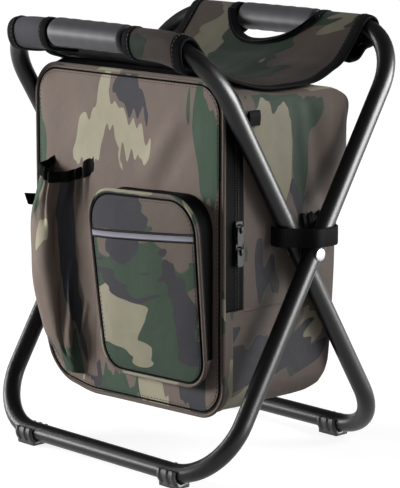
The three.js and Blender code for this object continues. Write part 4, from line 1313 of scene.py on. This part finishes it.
def puffed(out, depth):
    """How far the closed zip swells: most along its line, on the top and the left."""
    half = zip_line - panel_front if depth < zip_line else tape_rear - zip_line
    share = max(0, 1 - abs(depth - zip_line) / half)
    swell = tape_puff_top * max(0, out.y) ** 2 + tape_puff_left * max(0, -out.x) ** 2
    return swell * math.sin(share * math.pi / 2)


def band(name, path, start, stop, lifts=(tape_lift, tape_top)):
    """Strip along a path on the bag's outline, between two depths."""
    depths = [start + (stop - start) * k / 6 for k in range(7)]
    section = [(depth, lifts[0]) for depth in depths] + [(depth, lifts[1]) for depth in reversed(depths)]
    section.append(section[0])
    rows, flat = [], []
    length = 0.0
    for i, (point, out) in enumerate(path):
        if i:
            length += (point - path[i - 1][0]).length
        row = []
        for depth, lift in section:
            rise = lift + puffed(out, depth)
            row.append(Vector((point.x + out.x * rise, depth, point.y + out.y * rise)))
        rows.append(row)
        flat.append([(length, k * 0.003) for k in range(len(section))])
    return hung(face_outwards(skin(name, rows, flat=flat), weld=1e-6))


zip_cloth = webbing_black("black_zip_tape", shade=0.003, pitch=420)
coil_nylon = black_nylon("zip_coil_nylon", 0.006, gloss=0.12)
ring = rounded(panel_corners, 0.0, spacing=0.003)
arch_from = next(i for i, (p, n) in enumerate(ring) if p.y >= zip_end)
arch_to = max(i for i, (p, n) in enumerate(ring) if p.y >= zip_end)
arch = ring[arch_from:arch_to + 1]
front_tape = band("front_zip_tape", arch, panel_front + 0.0025, zip_line - 0.0004)
rear_tape = band("rear_zip_tape", arch, zip_line + 0.0004, tape_rear)
row_lines = []
for depth in (zip_line - 0.0014, zip_line + 0.0014):
    line = []
    for p, n in arch:
        rise = 0.0017 + puffed(n, depth)
        line.append((Vector((p.x + n.x * rise, depth, p.y + n.y * rise)), Vector((n.x, 0, n.y))))
    row_lines.append(line)
front_teeth = hung(row_of("front_zip_coil", row_lines[:1], tooth_pitch, tooth_size, coil_nylon))
rear_teeth = hung(row_of("rear_zip_coil", [row_lines[1][1:]], tooth_pitch, tooth_size, coil_nylon))
for tape in (front_tape, rear_tape):
    dressed(tape, zip_cloth)
for piece in (front_tape, front_teeth):
    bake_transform(piece)
for piece in (rear_tape, rear_teeth):
    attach(piece, "bag")
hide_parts("zip_tape_flap", "zip_tape_left", "zip_tape_right")
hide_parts("zip_tape_bag")
fold_path = [Vector((p.x + n.x * 0.0006, tape_rear + 0.0006, p.y + n.y * 0.0006)) for p, n in arch]
zip_fold = hung(bead("zip_cover_fold", fold_path, 0.0015, sides=10))
dressed(zip_fold, side_camo)
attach(zip_fold, "bag")
under_arch = ring[arch_to:] + ring[:arch_from + 1]
base_edge = band("base_front_edge", under_arch, panel_front + 0.0022, bag_front + 0.006,
                 lifts=(-0.0006, 0.0005))
dressed(base_edge, base_camo)
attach(base_edge, "bag")

# Zip sliders and pull tabs: small castings enamelled black, which keep the shape of their solids. The enamel
# is a little worn.
def black_enamel():
    material, tree, shader = blank_finish("black_enamel")
    place = wire(tree, "ShaderNodeTexCoord").outputs["Object"]
    wear = clouds(tree, place, 500, 5)
    plug(tree, shader, {
        "Base Color": two_tone(tree, wear, (0.004, 0.004, 0.005, 1), (0.012, 0.012, 0.014, 1)),
        "Specular IOR Level": 0.12,
        "Roughness": ranged(tree, wear, 0.35, 0.6),
    })
    return material


enamel = black_enamel()
for name in ("upper", "lower", "pocket"):
    for kind in ("slider", "pull"):
        dressed(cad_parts[f"{name}_{kind}"], enamel)

# Front pocket: a zipped box on the panel, deeper at its top. Its padded face has a piped edge, and its wall
# is black tape with the zip, apart from the camouflage end below the fold.
pocket_foot_depth = 0.009
pocket_head_depth = 0.023
pocket_foot = 0.092
pocket_rise = 0.178
pocket_tilt = math.atan2(pocket_head_depth - pocket_foot_depth, pocket_rise)
pocket_height = pocket_rise / math.cos(pocket_tilt)
pocket_frame = Matrix.Translation((0, panel_front - pocket_foot_depth, pocket_foot))
pocket_frame = pocket_frame @ Matrix.Rotation(pocket_tilt, 4, "X")
pocket_left, pocket_right, pocket_taper = -0.029, 0.122, 0.009
pocket_corners = [
    (pocket_right, 0, 0.026), (pocket_right, pocket_height + 0.0025, 0.034),
    (pocket_left, pocket_height - 0.0025, 0.032), (pocket_left + pocket_taper, 0, 0.026),
]
pocket_hinge = 0.026
pocket_wall = 0.0018
pocket_puff = 0.0042


def pocket_at(x, depth, rise):
    """Point of the pocket: across, forward of its face plane and up its face."""
    return pocket_frame @ Vector((x, -depth, rise))


def pocket_depth(x, rise, s, t):
    puff = pocket_puff * (1 - s ** 3.2) * (1 - t ** 3.2)
    soft = noise.noise(Vector((x * 22, rise * 18, 6.4))) * 0.0012 * (1 - s ** 4) * (1 - t ** 4)
    return pocket_wall + puff + soft - 0.0012 * max(s, t) ** 24


def pocket_shares(x, rise):
    left, right = span(pocket_outline, min(max(rise, 1e-4), pocket_height - 1e-4))
    return abs(2 * (x - left) / (right - left) - 1), abs(2 * rise / pocket_height - 1)


pocket_outline = rounded(pocket_corners)
pocket_face = filled("pocket_face", pocket_outline,
                     lambda x, z, s, t: pocket_at(x, pocket_depth(x, z, s, t), z), 72, 56)
pocket_lean = [
    ("khaki", (0.010, 0.054), (0.058, 0.046), 0.50), ("khaki", (0.040, 0.028), (0.030, 0.016), 0.36),
    ("charcoal", (0.000, 0.148), (0.056, 0.030), 0.34), ("charcoal", (0.098, 0.066), (0.022, 0.050), 0.34),
    ("charcoal", (0.020, 0.092), (0.062, 0.012), 0.32), ("charcoal", (0.080, 0.112), (0.012, 0.024), 0.30),
    ("green", (0.095, 0.162), (0.060, 0.032), -0.45), ("charcoal", (0.095, 0.165), (0.045, 0.030), -0.30),
    ("green", (-0.005, 0.120), (0.012, 0.018), -0.35),
]
# The pocket's print is darkened to three quarters of its tone: painted shade for its face, which is less lit
# than the panel.
pocket_camo_painted_shade = camo_cloth("pocket_camouflage_painted_shade", (0.9, 1.7), turn=1.45, tone=0.75, levels=(0.42, 0.78, 0.72),
                         lean=pocket_lean)
pocket_face = hung(finished(pocket_face, thickness=0.0014, levels=1))
dressed(pocket_face, pocket_camo_painted_shade)
rim_path = [pocket_at(p.x, pocket_wall - 0.0006, p.y) for p, _ in rounded(pocket_corners, 0.0013)]
pocket_rim = hung(bead("pocket_piping", rim_path, 0.0018, sides=12, closed=True))
dressed(pocket_rim, camo_cloth("pocket_piping_camouflage", (5.3, 1.1), (0.74, 0.66, 0.74), grain=(1.0, 1.3),
                               tone=0.8))
# Inside the pocket's piping runs the same black cord: a welt, and a painted shadow for the groove along the
# piping.
welt_and_shade_path = [pocket_at(p.x, pocket_wall, p.y) for p, _ in rounded(pocket_corners, -0.0022)]
welt_and_shade_line = bead("pocket_welt_and_shade_line", [p for p, _ in laid_on(pocket_face, welt_and_shade_path)], 0.0011, sides=8, closed=True)
dressed(welt_and_shade_line, welt_and_groove_shade_cloth)
pocket_rim = joined("pocket_piping", [pocket_rim, welt_and_shade_line])
for piece in (pocket_face, pocket_rim):
    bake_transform(piece)
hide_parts("pocket_panel", "pocket_flap")
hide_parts("pocket_panel_piping", "pocket_flap_piping")


def pocket_back(rise):
    """Distance from the face plane back to the panel at a rise."""
    return (pocket_foot_depth - 0.0003 + rise * math.sin(pocket_tilt)) / math.cos(pocket_tilt)


def pocket_wall_strip(name, stretch, front, shares):
    rows, flat = [], []
    length = 0.0
    for i, (p, n) in enumerate(stretch):
        if i:
            length += (p - stretch[i - 1][0]).length
        deep = pocket_back(p.y)
        line = [(front + (deep - front) * share, lift) for share, lift in shares]
        line += [(d, lift - pocket_wall) for d, lift in reversed(line)]
        line.append(line[0])
        rows.append([pocket_at(p.x + n.x * lift, -d, p.y + n.y * lift) for d, lift in line])
        flat.append([(length, d) for d, lift in line])
    return hung(face_outwards(skin(name, rows, flat=flat), weld=1e-6))


wall_ring = rounded(pocket_corners, 0.0, spacing=0.003)
zip_stretch = [(p, n) for p, n in wall_ring if p.y >= pocket_hinge]
ends = [(p, n) for p, n in wall_ring if p.y < pocket_hinge + 0.002]
split = max(range(len(ends) - 1), key=lambda i: (ends[i + 1][0] - ends[i][0]).length)
end_stretch = ends[split + 1:] + ends[:split + 1]
pocket_zip = pocket_wall_strip("pocket_zip_wall", zip_stretch, 0.0004,
                               [(0, -0.0005), (0.18, -0.0001), (0.22, -0.0005), (0.5, -0.0005), (0.54, 0),
                                (0.6, -0.0005), (1, 0)])
dressed(pocket_zip, zip_cloth)
pocket_base = pocket_wall_strip("pocket_end_wall", end_stretch, 0.0004, [(0, 0), (0.5, 0.0004), (1, 0)])
dressed(pocket_base, side_camo)
teeth_line = [(pocket_at(p.x, -0.0030, p.y),
               (pocket_frame.to_3x3() @ Vector((n.x, 0, n.y)))) for p, n in zip_stretch]
pocket_teeth = hung(row_of("pocket_zip_coil", [teeth_line], 0.0018, (0.0011, 0.0030, 0.0012), coil_nylon))
for piece in (pocket_zip, pocket_base, pocket_teeth):
    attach(piece, "bag")
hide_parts("pocket_zip_tape")
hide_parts("pocket_gusset")

# Reflective strip: a band of grey beaded film between two dark edges, sewn across the pocket's face and a
# little aslant.
strip_height = 0.0065
strip_rise = 0.1396
strip_tilt = 0.07
strip_start, strip_stop = pocket_left + 0.0040, pocket_right - 0.0018


def reflector():
    material, tree, shader = blank_finish("grey_reflector")
    place = wire(tree, "ShaderNodeTexCoord").outputs["Object"]
    beads = wire(tree, "ShaderNodeTexVoronoi", {"Vector": place, "Scale": 1500}).outputs[0]
    plug(tree, shader, {
        "Base Color": two_tone(tree, beads, (0.20, 0.197, 0.235, 1), (0.27, 0.266, 0.31, 1)),
        "Roughness": 0.55,
        "Specular IOR Level": 0.08,
        "Normal": bumped(tree, beads, 0.2, 0.0002),
    })
    return material


strip_profile = [
    (-4.3, 0.1), (-4.2, 0.7), (-2.5, 0.8), (-2.4, 0.7), (0, 0.8),
    (2.4, 0.7), (2.5, 0.8), (4.2, 0.7), (4.3, 0.1),
]
strip_rows, strip_flat = [], []
for i in range(61):
    x = strip_start + (strip_stop - strip_start) * i / 60
    middle = strip_rise + (x - (pocket_left + pocket_right) / 2) * strip_tilt
    line = []
    for offset, lift in strip_profile:
        rise = middle + offset / 1000 * strip_height / 0.0065
        line.append(pocket_at(x, pocket_depth(x, rise, *pocket_shares(x, rise)) + 0.0006 + lift / 1000, rise))
    strip_rows.append(line)
    strip_flat.append([(x, k * 0.001) for k in range(len(line))])
strip = skin("reflector_band", strip_rows, flat=strip_flat)
dressed(strip, reflector(), webbing_black("strip_binding"))
for k, face in enumerate(strip.data.polygons):
    face.material_index = 0 if 2 <= k % (len(strip_profile) - 1) <= 5 else 1
strip = hung(finished(strip, thickness=0.0005, levels=0))
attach(strip, "pocket_cover")
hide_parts("reflective_strip")

# Seams of the front: lockstitch in dark thread round the panel, round the pocket's face and along the strip.
# Each row lies on the cloth that it sews.
panel_seam = [Vector((p.x, panel_front, p.y)) for p, _ in rounded(panel_corners, -0.0058)]
panel_seam = laid_on(front, panel_seam + panel_seam[:1], lift=0.0001)
panel_stitches = row_of("panel_stitches", [panel_seam], stitch_pitch, stitch, thread)
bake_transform(panel_stitches)
pocket_seam = [pocket_at(p.x, pocket_wall, p.y) for p, _ in rounded(pocket_corners, -0.0052)]
pocket_seam = laid_on(pocket_face, pocket_seam + pocket_seam[:1], lift=0.0001)
pocket_stitches = row_of("pocket_stitches", [pocket_seam], stitch_pitch, stitch, thread)
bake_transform(pocket_stitches)
strip_seams = []
for offset in (-0.0034, 0.0034):
    spots = []
    for i in range(60):
        x = strip_start + 0.002 + (strip_stop - strip_start - 0.004) * i / 59
        middle = strip_rise + (x - (pocket_left + pocket_right) / 2) * strip_tilt
        spots.append(pocket_at(x, pocket_wall, middle + offset * strip_height / 0.0065))
    strip_seams.append(laid_on(strip, spots, lift=0.0001))
strip_stitches = row_of("strip_stitches", strip_seams, stitch_pitch, stitch, thread)
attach(strip_stitches, "pocket_cover")

# Bottle pouch: a slack open pocket of camouflage cloth on the panel's left, gathered under an elastic mouth
# and sewn down at its sides and bottom.
pouch_low, pouch_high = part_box("bottle_pouch")
mouth_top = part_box("pouch_elastic")[1].z
mouth_rise = mouth_top - pouch_high.z
pouch_right = pouch_high.x
pouch_rows = 84
pouch_columns = 96
pouch_section = [Vector(p) / 1000 for p in [
    (-126, 0.2), (-131.5, 5), (-133.5, 12), (-131, 20), (-123, 25.5), (-112, 28), (-101, 27.8), (-93.5, 24),
    (-89.5, 16.5), (-86, 9.5), (-80, 5.2), (-71, 3.2), (-58, 1.8), (-45, 0.6)]]


def pouch_edge_height(s):
    """Height of the mouth's lower edge, which dips between its sewn ends."""
    return pouch_high.z + 0.4 * mouth_rise - 0.014 * math.sin(math.pi * min(1, max(0, s))) ** 0.8


pouch_line = through([p.to_3d() for p in pouch_section], pouch_columns + 1)


def pouch_point(s, t, lift=0.0):
    """Point of the pouch: share across from left to right and share up from its bottom seam."""
    column = round(s * pouch_columns)
    base = pouch_line[column]
    z = pouch_low.z + (pouch_edge_height(s) - pouch_low.z) * t
    wide = 0.915 - 0.19 * gentle(0.80, 1.0, t) - 0.22 * (1 - gentle(-0.15, 0.75, t))
    deep = 0.90 - 0.20 * gentle(0.60, 1.0, t) - 0.50 * (1 - gentle(-0.02, 0.24, t))
    before, after = pouch_line[max(0, column - 1)], pouch_line[min(pouch_columns, column + 1)]
    way = (after - before).normalized()
    out = Vector((-way.y, way.x))
    loose = math.sin(math.pi * s) ** 0.5 if 0 < s < 1 else 0
    gather = math.sin(s * 44 + 0.9 * math.sin(s * 17)) * (0.45 + 0.55 * abs(math.sin(s * 9 + 0.4)))
    move = 0.0036 * gather * gentle(0.80, 0.99, t) * loose
    move += 0.0090 * ridge(s, t, (0.720, 0.56), (0.560, 0.12), 0.028)
    move -= 0.0045 * ridge(s, t, (0.600, 0.46), (0.490, 0.12), 0.024)
    move += 0.0040 * ridge(s, t, (0.860, 0.34), (0.700, 0.08), 0.030)
    move -= 0.0030 * ridge(s, t, (0.560, 0.92), (0.570, 0.62), 0.030)
    move -= 0.0034 * ridge(s, t, (0.36, 0.99), (0.45, 0.80), 0.024)
    move += 0.0036 * ridge(s, t, (0.43, 0.99), (0.50, 0.78), 0.022)
    move += 0.0030 * ridge(s, t, (0.24, 0.98), (0.33, 0.80), 0.022)
    move -= 0.0026 * ridge(s, t, (0.12, 0.96), (0.24, 0.76), 0.024)
    move += noise.noise(Vector((s * 5, t * 5, 4.4))) * 0.0026 * loose * (1 - abs(2 * t - 1) ** 6)
    move += lift
    x = pouch_right + (base.x - pouch_right) * wide + out.x * move
    return Vector((x, panel_front - 0.0008 - max(base.y * deep + out.y * move, 0.0002), z))


rows, flat = [], []
girth = 0.0
for i in range(pouch_columns + 1):
    s = i / pouch_columns
    if i:
        girth += (pouch_line[i] - pouch_line[i - 1]).length
    rows.append([pouch_point(s, j / pouch_rows) for j in range(pouch_rows + 1)])
    flat.append([(girth, p.z) for p in rows[-1]])
floor_rows = []
for foot in [row[0] for row in rows]:
    back = Vector((foot.x, panel_front - 0.0006, foot.z))
    floor_rows.append([foot.lerp(back, k / 4) for k in range(5)])
floor_flat = [[(spots[0][0], spots[0][1] - 0.006 * k) for k in range(5)] for spots in flat]
pouch_floor = skin("pouch_floor", floor_rows, flat=floor_flat)
pouch = welded(joined("pouch_cloth", [skin("pouch_wall", rows, flat=flat), pouch_floor]), 0.0002)
pouch = hung(finished(pouch, thickness=cloth_wall, levels=1))
# The two charcoal patches down the right flank are print strengthened into painted shade, for the flank that
# lies in the pouch's own shadow.
pouch_print_and_flank_shade = [
    ("khaki", (0.046, 0.218), (0.010, 0.024), 0.36), ("green", (0.020, 0.255), (0.022, 0.030), 0.28),
    ("khaki", (0.012, 0.190), (0.010, 0.020), 0.22), ("charcoal", (0.082, 0.215), (0.017, 0.085), 0.55),
    ("charcoal", (0.086, 0.125), (0.014, 0.035), 0.40),
    ("charcoal", (0.030, 0.095), (0.03, 0.010), 0.30),
]
dressed(pouch, camo_cloth("pouch_camouflage_and_flank_shade", (2.6, 0.9), (0.71, 0.74, 0.72), turn=0.35, lean=pouch_print_and_flank_shade))
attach(pouch, "bag")
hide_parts("bottle_pouch")

# Elastic of the pouch: a black ribbed band folded over the mouth and drawn up into the same gathers as the
# cloth.
elastic_profile = [
    (1.3, -0.25), (1.9, 0.0), (2.0, 0.3), (1.7, 0.7), (1.2, 0.95), (0.3, 1.0), (-0.6, 0.95), (-1.0, 0.6),
    (-1.0, 0.0),
]
elastic_rows, elastic_flat = [], []
girth = 0.0
for i in range(pouch_columns + 1):
    s = i / pouch_columns
    if i:
        girth += (pouch_line[i] - pouch_line[i - 1]).length
    foot = pouch_point(s, 1.0)
    rise = 0.6 * mouth_rise * (1 + 0.6 * gentle(0.74, 0.90, s))
    line = []
    for out_mm, up in elastic_profile:
        point = pouch_point(s, 1.0, lift=out_mm / 1000)
        line.append(Vector((point.x, point.y, foot.z + up * rise)))
    elastic_rows.append(line)
    elastic_flat.append([(girth, k * 0.002) for k in range(len(line))])
elastic = skin("pouch_mouth_band", elastic_rows, flat=elastic_flat)
elastic = hung(finished(elastic, thickness=0.0007, levels=1))
dressed(elastic, webbing_black("black_elastic", shade=0.007, pitch=360))
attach(elastic, "bag")
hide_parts("pouch_elastic")

# Frame straps: black webbing sewn to the bag's sides and passed round both legs of a side, over the rivets.
# They carry the bag.
strap_low, strap_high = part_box("frame_strap_right")
leg_lean = math.atan2(inner_loop.spread, inner_loop.half_height)
strap_half_wall = 0.0008
strap_rise = strap_high.z - inner_loop.middle.z
strap_reach = strap_rise * math.tan(leg_lean) + tube_radius / math.cos(leg_lean) + 0.0018
strap_profile = [
    (-1, 0.06), (-1, 0.94), (-0.5, 1), (0.5, 1), (1, 0.94), (1, 0.5), (1, 0.06), (0.5, 0), (-0.5, 0),
]
webbing = webbing_black("black_webbing", shade=0.009, pitch=260)


def webbing_band(name, line, low, high, wall):
    """Upright band of webbing along a line of points, with soft edges."""
    rows, flat = [], []
    length = 0.0
    for i, point in enumerate(line):
        before, after = line[max(i - 1, 0)], line[min(i + 1, len(line) - 1)]
        if i:
            length += (point - before).length
        way = (after - before).normalized()
        out = Vector((way.y, -way.x, 0))
        ring = []
        for across, up in strap_profile:
            ring.append(Vector((point.x, point.y, low + (high - low) * up)) + out * wall * across)
        rows.append(ring + ring[:1])
        flat.append([(length, k * 0.004) for k in range(len(ring) + 1)])
    return face_outwards(skin(name, rows, flat=flat), weld=1e-6)


for name, side in [("left", -1), ("right", 1)]:
    own_low, own_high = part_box(f"frame_strap_{name}")
    on_bag = abs(own_low.x if side > 0 else own_high.x) + strap_half_wall
    outside = max(abs(strap_low.x), abs(strap_high.x)) - strap_half_wall
    inner_x, outer_x = inner_loop.half_width, outer_loop.half_width
    stops = [
        (on_bag, -0.006), (on_bag, -0.013), (on_bag + 0.0002, -0.020),
        (inner_x - 0.0090, -strap_reach + 0.001), (inner_x - 0.0020, -strap_reach - 0.0008),
        (inner_x + 0.0050, -strap_reach), (outer_x - 0.004, -strap_reach * 0.55),
        (outside - 0.0006, -0.0060), (outside, 0.004), (outside, strap_reach * 0.62),
        (outside - 0.0012, strap_reach * 0.78), (outer_x + 0.006, strap_reach * 0.95),
        (outer_x - 0.001, strap_reach), (inner_x, strap_reach + 0.0006),
        (on_bag + 0.001, strap_reach + 0.011), (on_bag, strap_reach + 0.018), (on_bag, strap_reach + 0.024),
    ]
    line = through([Vector((side * x, y, 0)) for x, y in stops], 90)
    strap = webbing_band(f"leg_strap_{name}", line, strap_low.z, strap_high.z, strap_half_wall)
    rows, flat = [], []
    for i in range(25):
        y = 0.0125 + 0.034 * i / 24
        crumple = math.sin(i * 0.83) + 0.6 * math.sin(i * 1.9 + 0.7)
        row = []
        for j in range(9):
            up = j / 8
            x = on_bag + 0.0016 + 0.0035 * math.sin(math.pi * up) + 0.0016 * crumple * (0.3 + 0.7 * up)
            row.append(Vector((side * x, y, strap_low.z + 0.004 + (0.0205 + 0.0022 * crumple) * up)))
        rows.append(row)
        flat.append([(y, j * 0.003) for j in range(9)])
    slack = finished(skin(f"strap_slack_{name}", rows, flat=flat), thickness=0.0013, levels=1)
    parts = [strap, slack]
    if side < 0:
        rows, flat = [], []
        for i in range(25):
            share = i / 24
            x = -on_bag - 0.0006 - 0.0215 * max(0, (share - 0.15) / 0.85) ** 1.3
            lean = 0.004 * share * share
            rows.append([Vector((x - 0.0012 * j / 8, -0.020 - 0.067 * share + 0.004 * (1 - j / 8) * share,
                                 strap_low.z + 0.005 + lean + 0.0125 * j / 8)) for j in range(9)])
            flat.append([(share * 0.07, j * 0.0015) for j in range(9)])
        parts.append(finished(skin("strap_tail", rows, flat=flat), thickness=0.0013, levels=1))
    strap = joined(f"leg_strap_{name}", parts)
    dressed(strap, webbing)
    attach(strap, "bag")
    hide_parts(f"frame_strap_{name}")

# Side tab: a short loop of black webbing, folded over and sewn to the bag's right side near its top, with
# soft edges.
tab_low, tab_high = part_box("side_tab")
tab_half = 0.0072
tab_shares = (-1, -0.94, -0.5, 0, 0.5, 0.94, 1)
tab_rows, tab_flat = [], []
for i in range(25):
    share = i / 24
    turn = math.pi * min(1, max(0, (share - 0.42) / 0.16))
    drop = (tab_high.z - tab_low.z - 0.004) * (abs(share - 0.5) * 2)
    rise = tab_high.z - 0.004 - drop + 0.004 * math.sin(turn)
    out = tab_low.x + 0.0005 + 0.0030 * gentle(0.40, 0.60, share) + 0.0012 * math.sin(math.pi * share)
    line = []
    for across in tab_shares:
        line.append(Vector((out, (tab_low.y + tab_high.y) / 2 + across * tab_half, rise)))
    tab_rows.append(line)
    tab_flat.append([(share * 0.05, across * tab_half) for across in tab_shares])
tab = finished(skin("side_loop", tab_rows, flat=tab_flat), thickness=0.0013, levels=1)
dressed(tab, webbing)
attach(tab, "bag")
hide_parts("side_tab")

# Shoulder straps: slim foam pads covered in black spacer mesh with a bound edge, folded flat on the bag's
# back, each with a ladder buckle and a tail of webbing.
back_lean = -math.atan2(0.016, 0.2356)
back_frame = Matrix.Translation((0, 0.056, 0.108)) @ Matrix.Rotation(back_lean, 4, "X")
pad_half = 0.025
pad_thick = 0.009
pad_stops = [(0.044, 0.230), (0.0495, 0.147), (0.066, 0.064)]
tail_half = 0.0124
tail_length = 0.056
tail_shares = (-1, -0.92, -0.4, 0, 0.4, 0.92, 1)


def spacer_mesh():
    material, tree, shader = blank_finish("black_spacer_mesh")
    place = wire(tree, "ShaderNodeTexCoord").outputs["Object"]
    holes = wire(tree, "ShaderNodeTexVoronoi", {"Vector": place, "Scale": 330, "Randomness": 0.15}).outputs[0]
    plug(tree, shader, {
        "Base Color": two_tone(tree, holes, (0.005, 0.005, 0.006, 1), (0.030, 0.030, 0.033, 1)),
        "Roughness": 0.85,
        "Specular IOR Level": 0.25,
        "Sheen Weight": 0.2,
        "Normal": bumped(tree, holes, 0.6, 0.0008),
    })
    return material


mesh_cloth = spacer_mesh()
for name, side in [("left", -1), ("right", 1)]:
    line = through([Vector((side * x, z, 0)) for x, z in pad_stops], 60)
    rows, edges = [], ([], [])
    for i, point in enumerate(line):
        before, after = line[max(i - 1, 0)], line[min(i + 1, len(line) - 1)]
        way = (after - before).normalized()
        across = Vector((way.y, -way.x, 0))
        tip = min(i, len(line) - 1 - i) / (len(line) - 1)
        end = min(1, tip * 9)
        end = math.sqrt(max(0.02, 1 - (1 - end) ** 2))
        wide = pad_half * (0.80 + 0.20 * end)
        thick = pad_thick * (0.55 + 0.45 * end)
        ring = []
        for k in range(28):
            turn = 2 * math.pi * k / 28
            c, s = math.cos(turn), math.sin(turn)
            out = math.copysign(abs(c) ** 0.42, c)
            high = 0.0002 + thick * (0.5 + 0.5 * math.copysign(abs(s) ** 0.7, s))
            high -= 0.0016 * gentle(0.7, 0.9, abs(out)) * (1 if s > 0 else 0)
            spot = point + across * wide * out
            ring.append(back_frame @ Vector((spot.x, high, spot.y)))
        rows.append(ring)
        for k, edge in zip((-1, 1), edges):
            spot = point + across * wide * k * 0.99
            edge.append(back_frame @ Vector((spot.x, 0.0004 + thick * 0.42, spot.y)))
    shoulder = face_outwards(skin(f"shoulder_pad_{name}", rows, ring=True))
    dressed(shoulder, mesh_cloth)
    shoulder = finished(shoulder, levels=1)
    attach(shoulder, "bag")
    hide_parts(f"shoulder_strap_{name}")
    loop = edges[0] + edges[1][::-1]
    trim = bead(f"shoulder_trim_{name}", through(loop + loop[:1], 260)[:-1], 0.0021, sides=8, closed=True)
    dressed(trim, binding_cloth)
    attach(trim, "bag")
    dressed(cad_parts[f"strap_buckle_{name}"], nylon)
    tail_low, tail_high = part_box(f"strap_webbing_{name}")
    middle = (tail_low.x + tail_high.x) / 2
    rows, flat = [], []
    for i in range(31):
        share = i / 30
        z = tail_length - tail_length * share
        high = 0.0024 + 0.0020 * math.sin(share * 8.5) * (1 - gentle(0.6, 1, share))
        rows.append([back_frame @ Vector((middle + a * tail_half, high, z)) for a in tail_shares])
        flat.append([(share * tail_length, a * tail_half) for a in tail_shares])
    tail = finished(skin(f"strap_tail_{name}", rows, flat=flat), thickness=0.0015, levels=1)
    dressed(tail, webbing)
    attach(tail, "bag")
    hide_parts(f"strap_webbing_{name}")
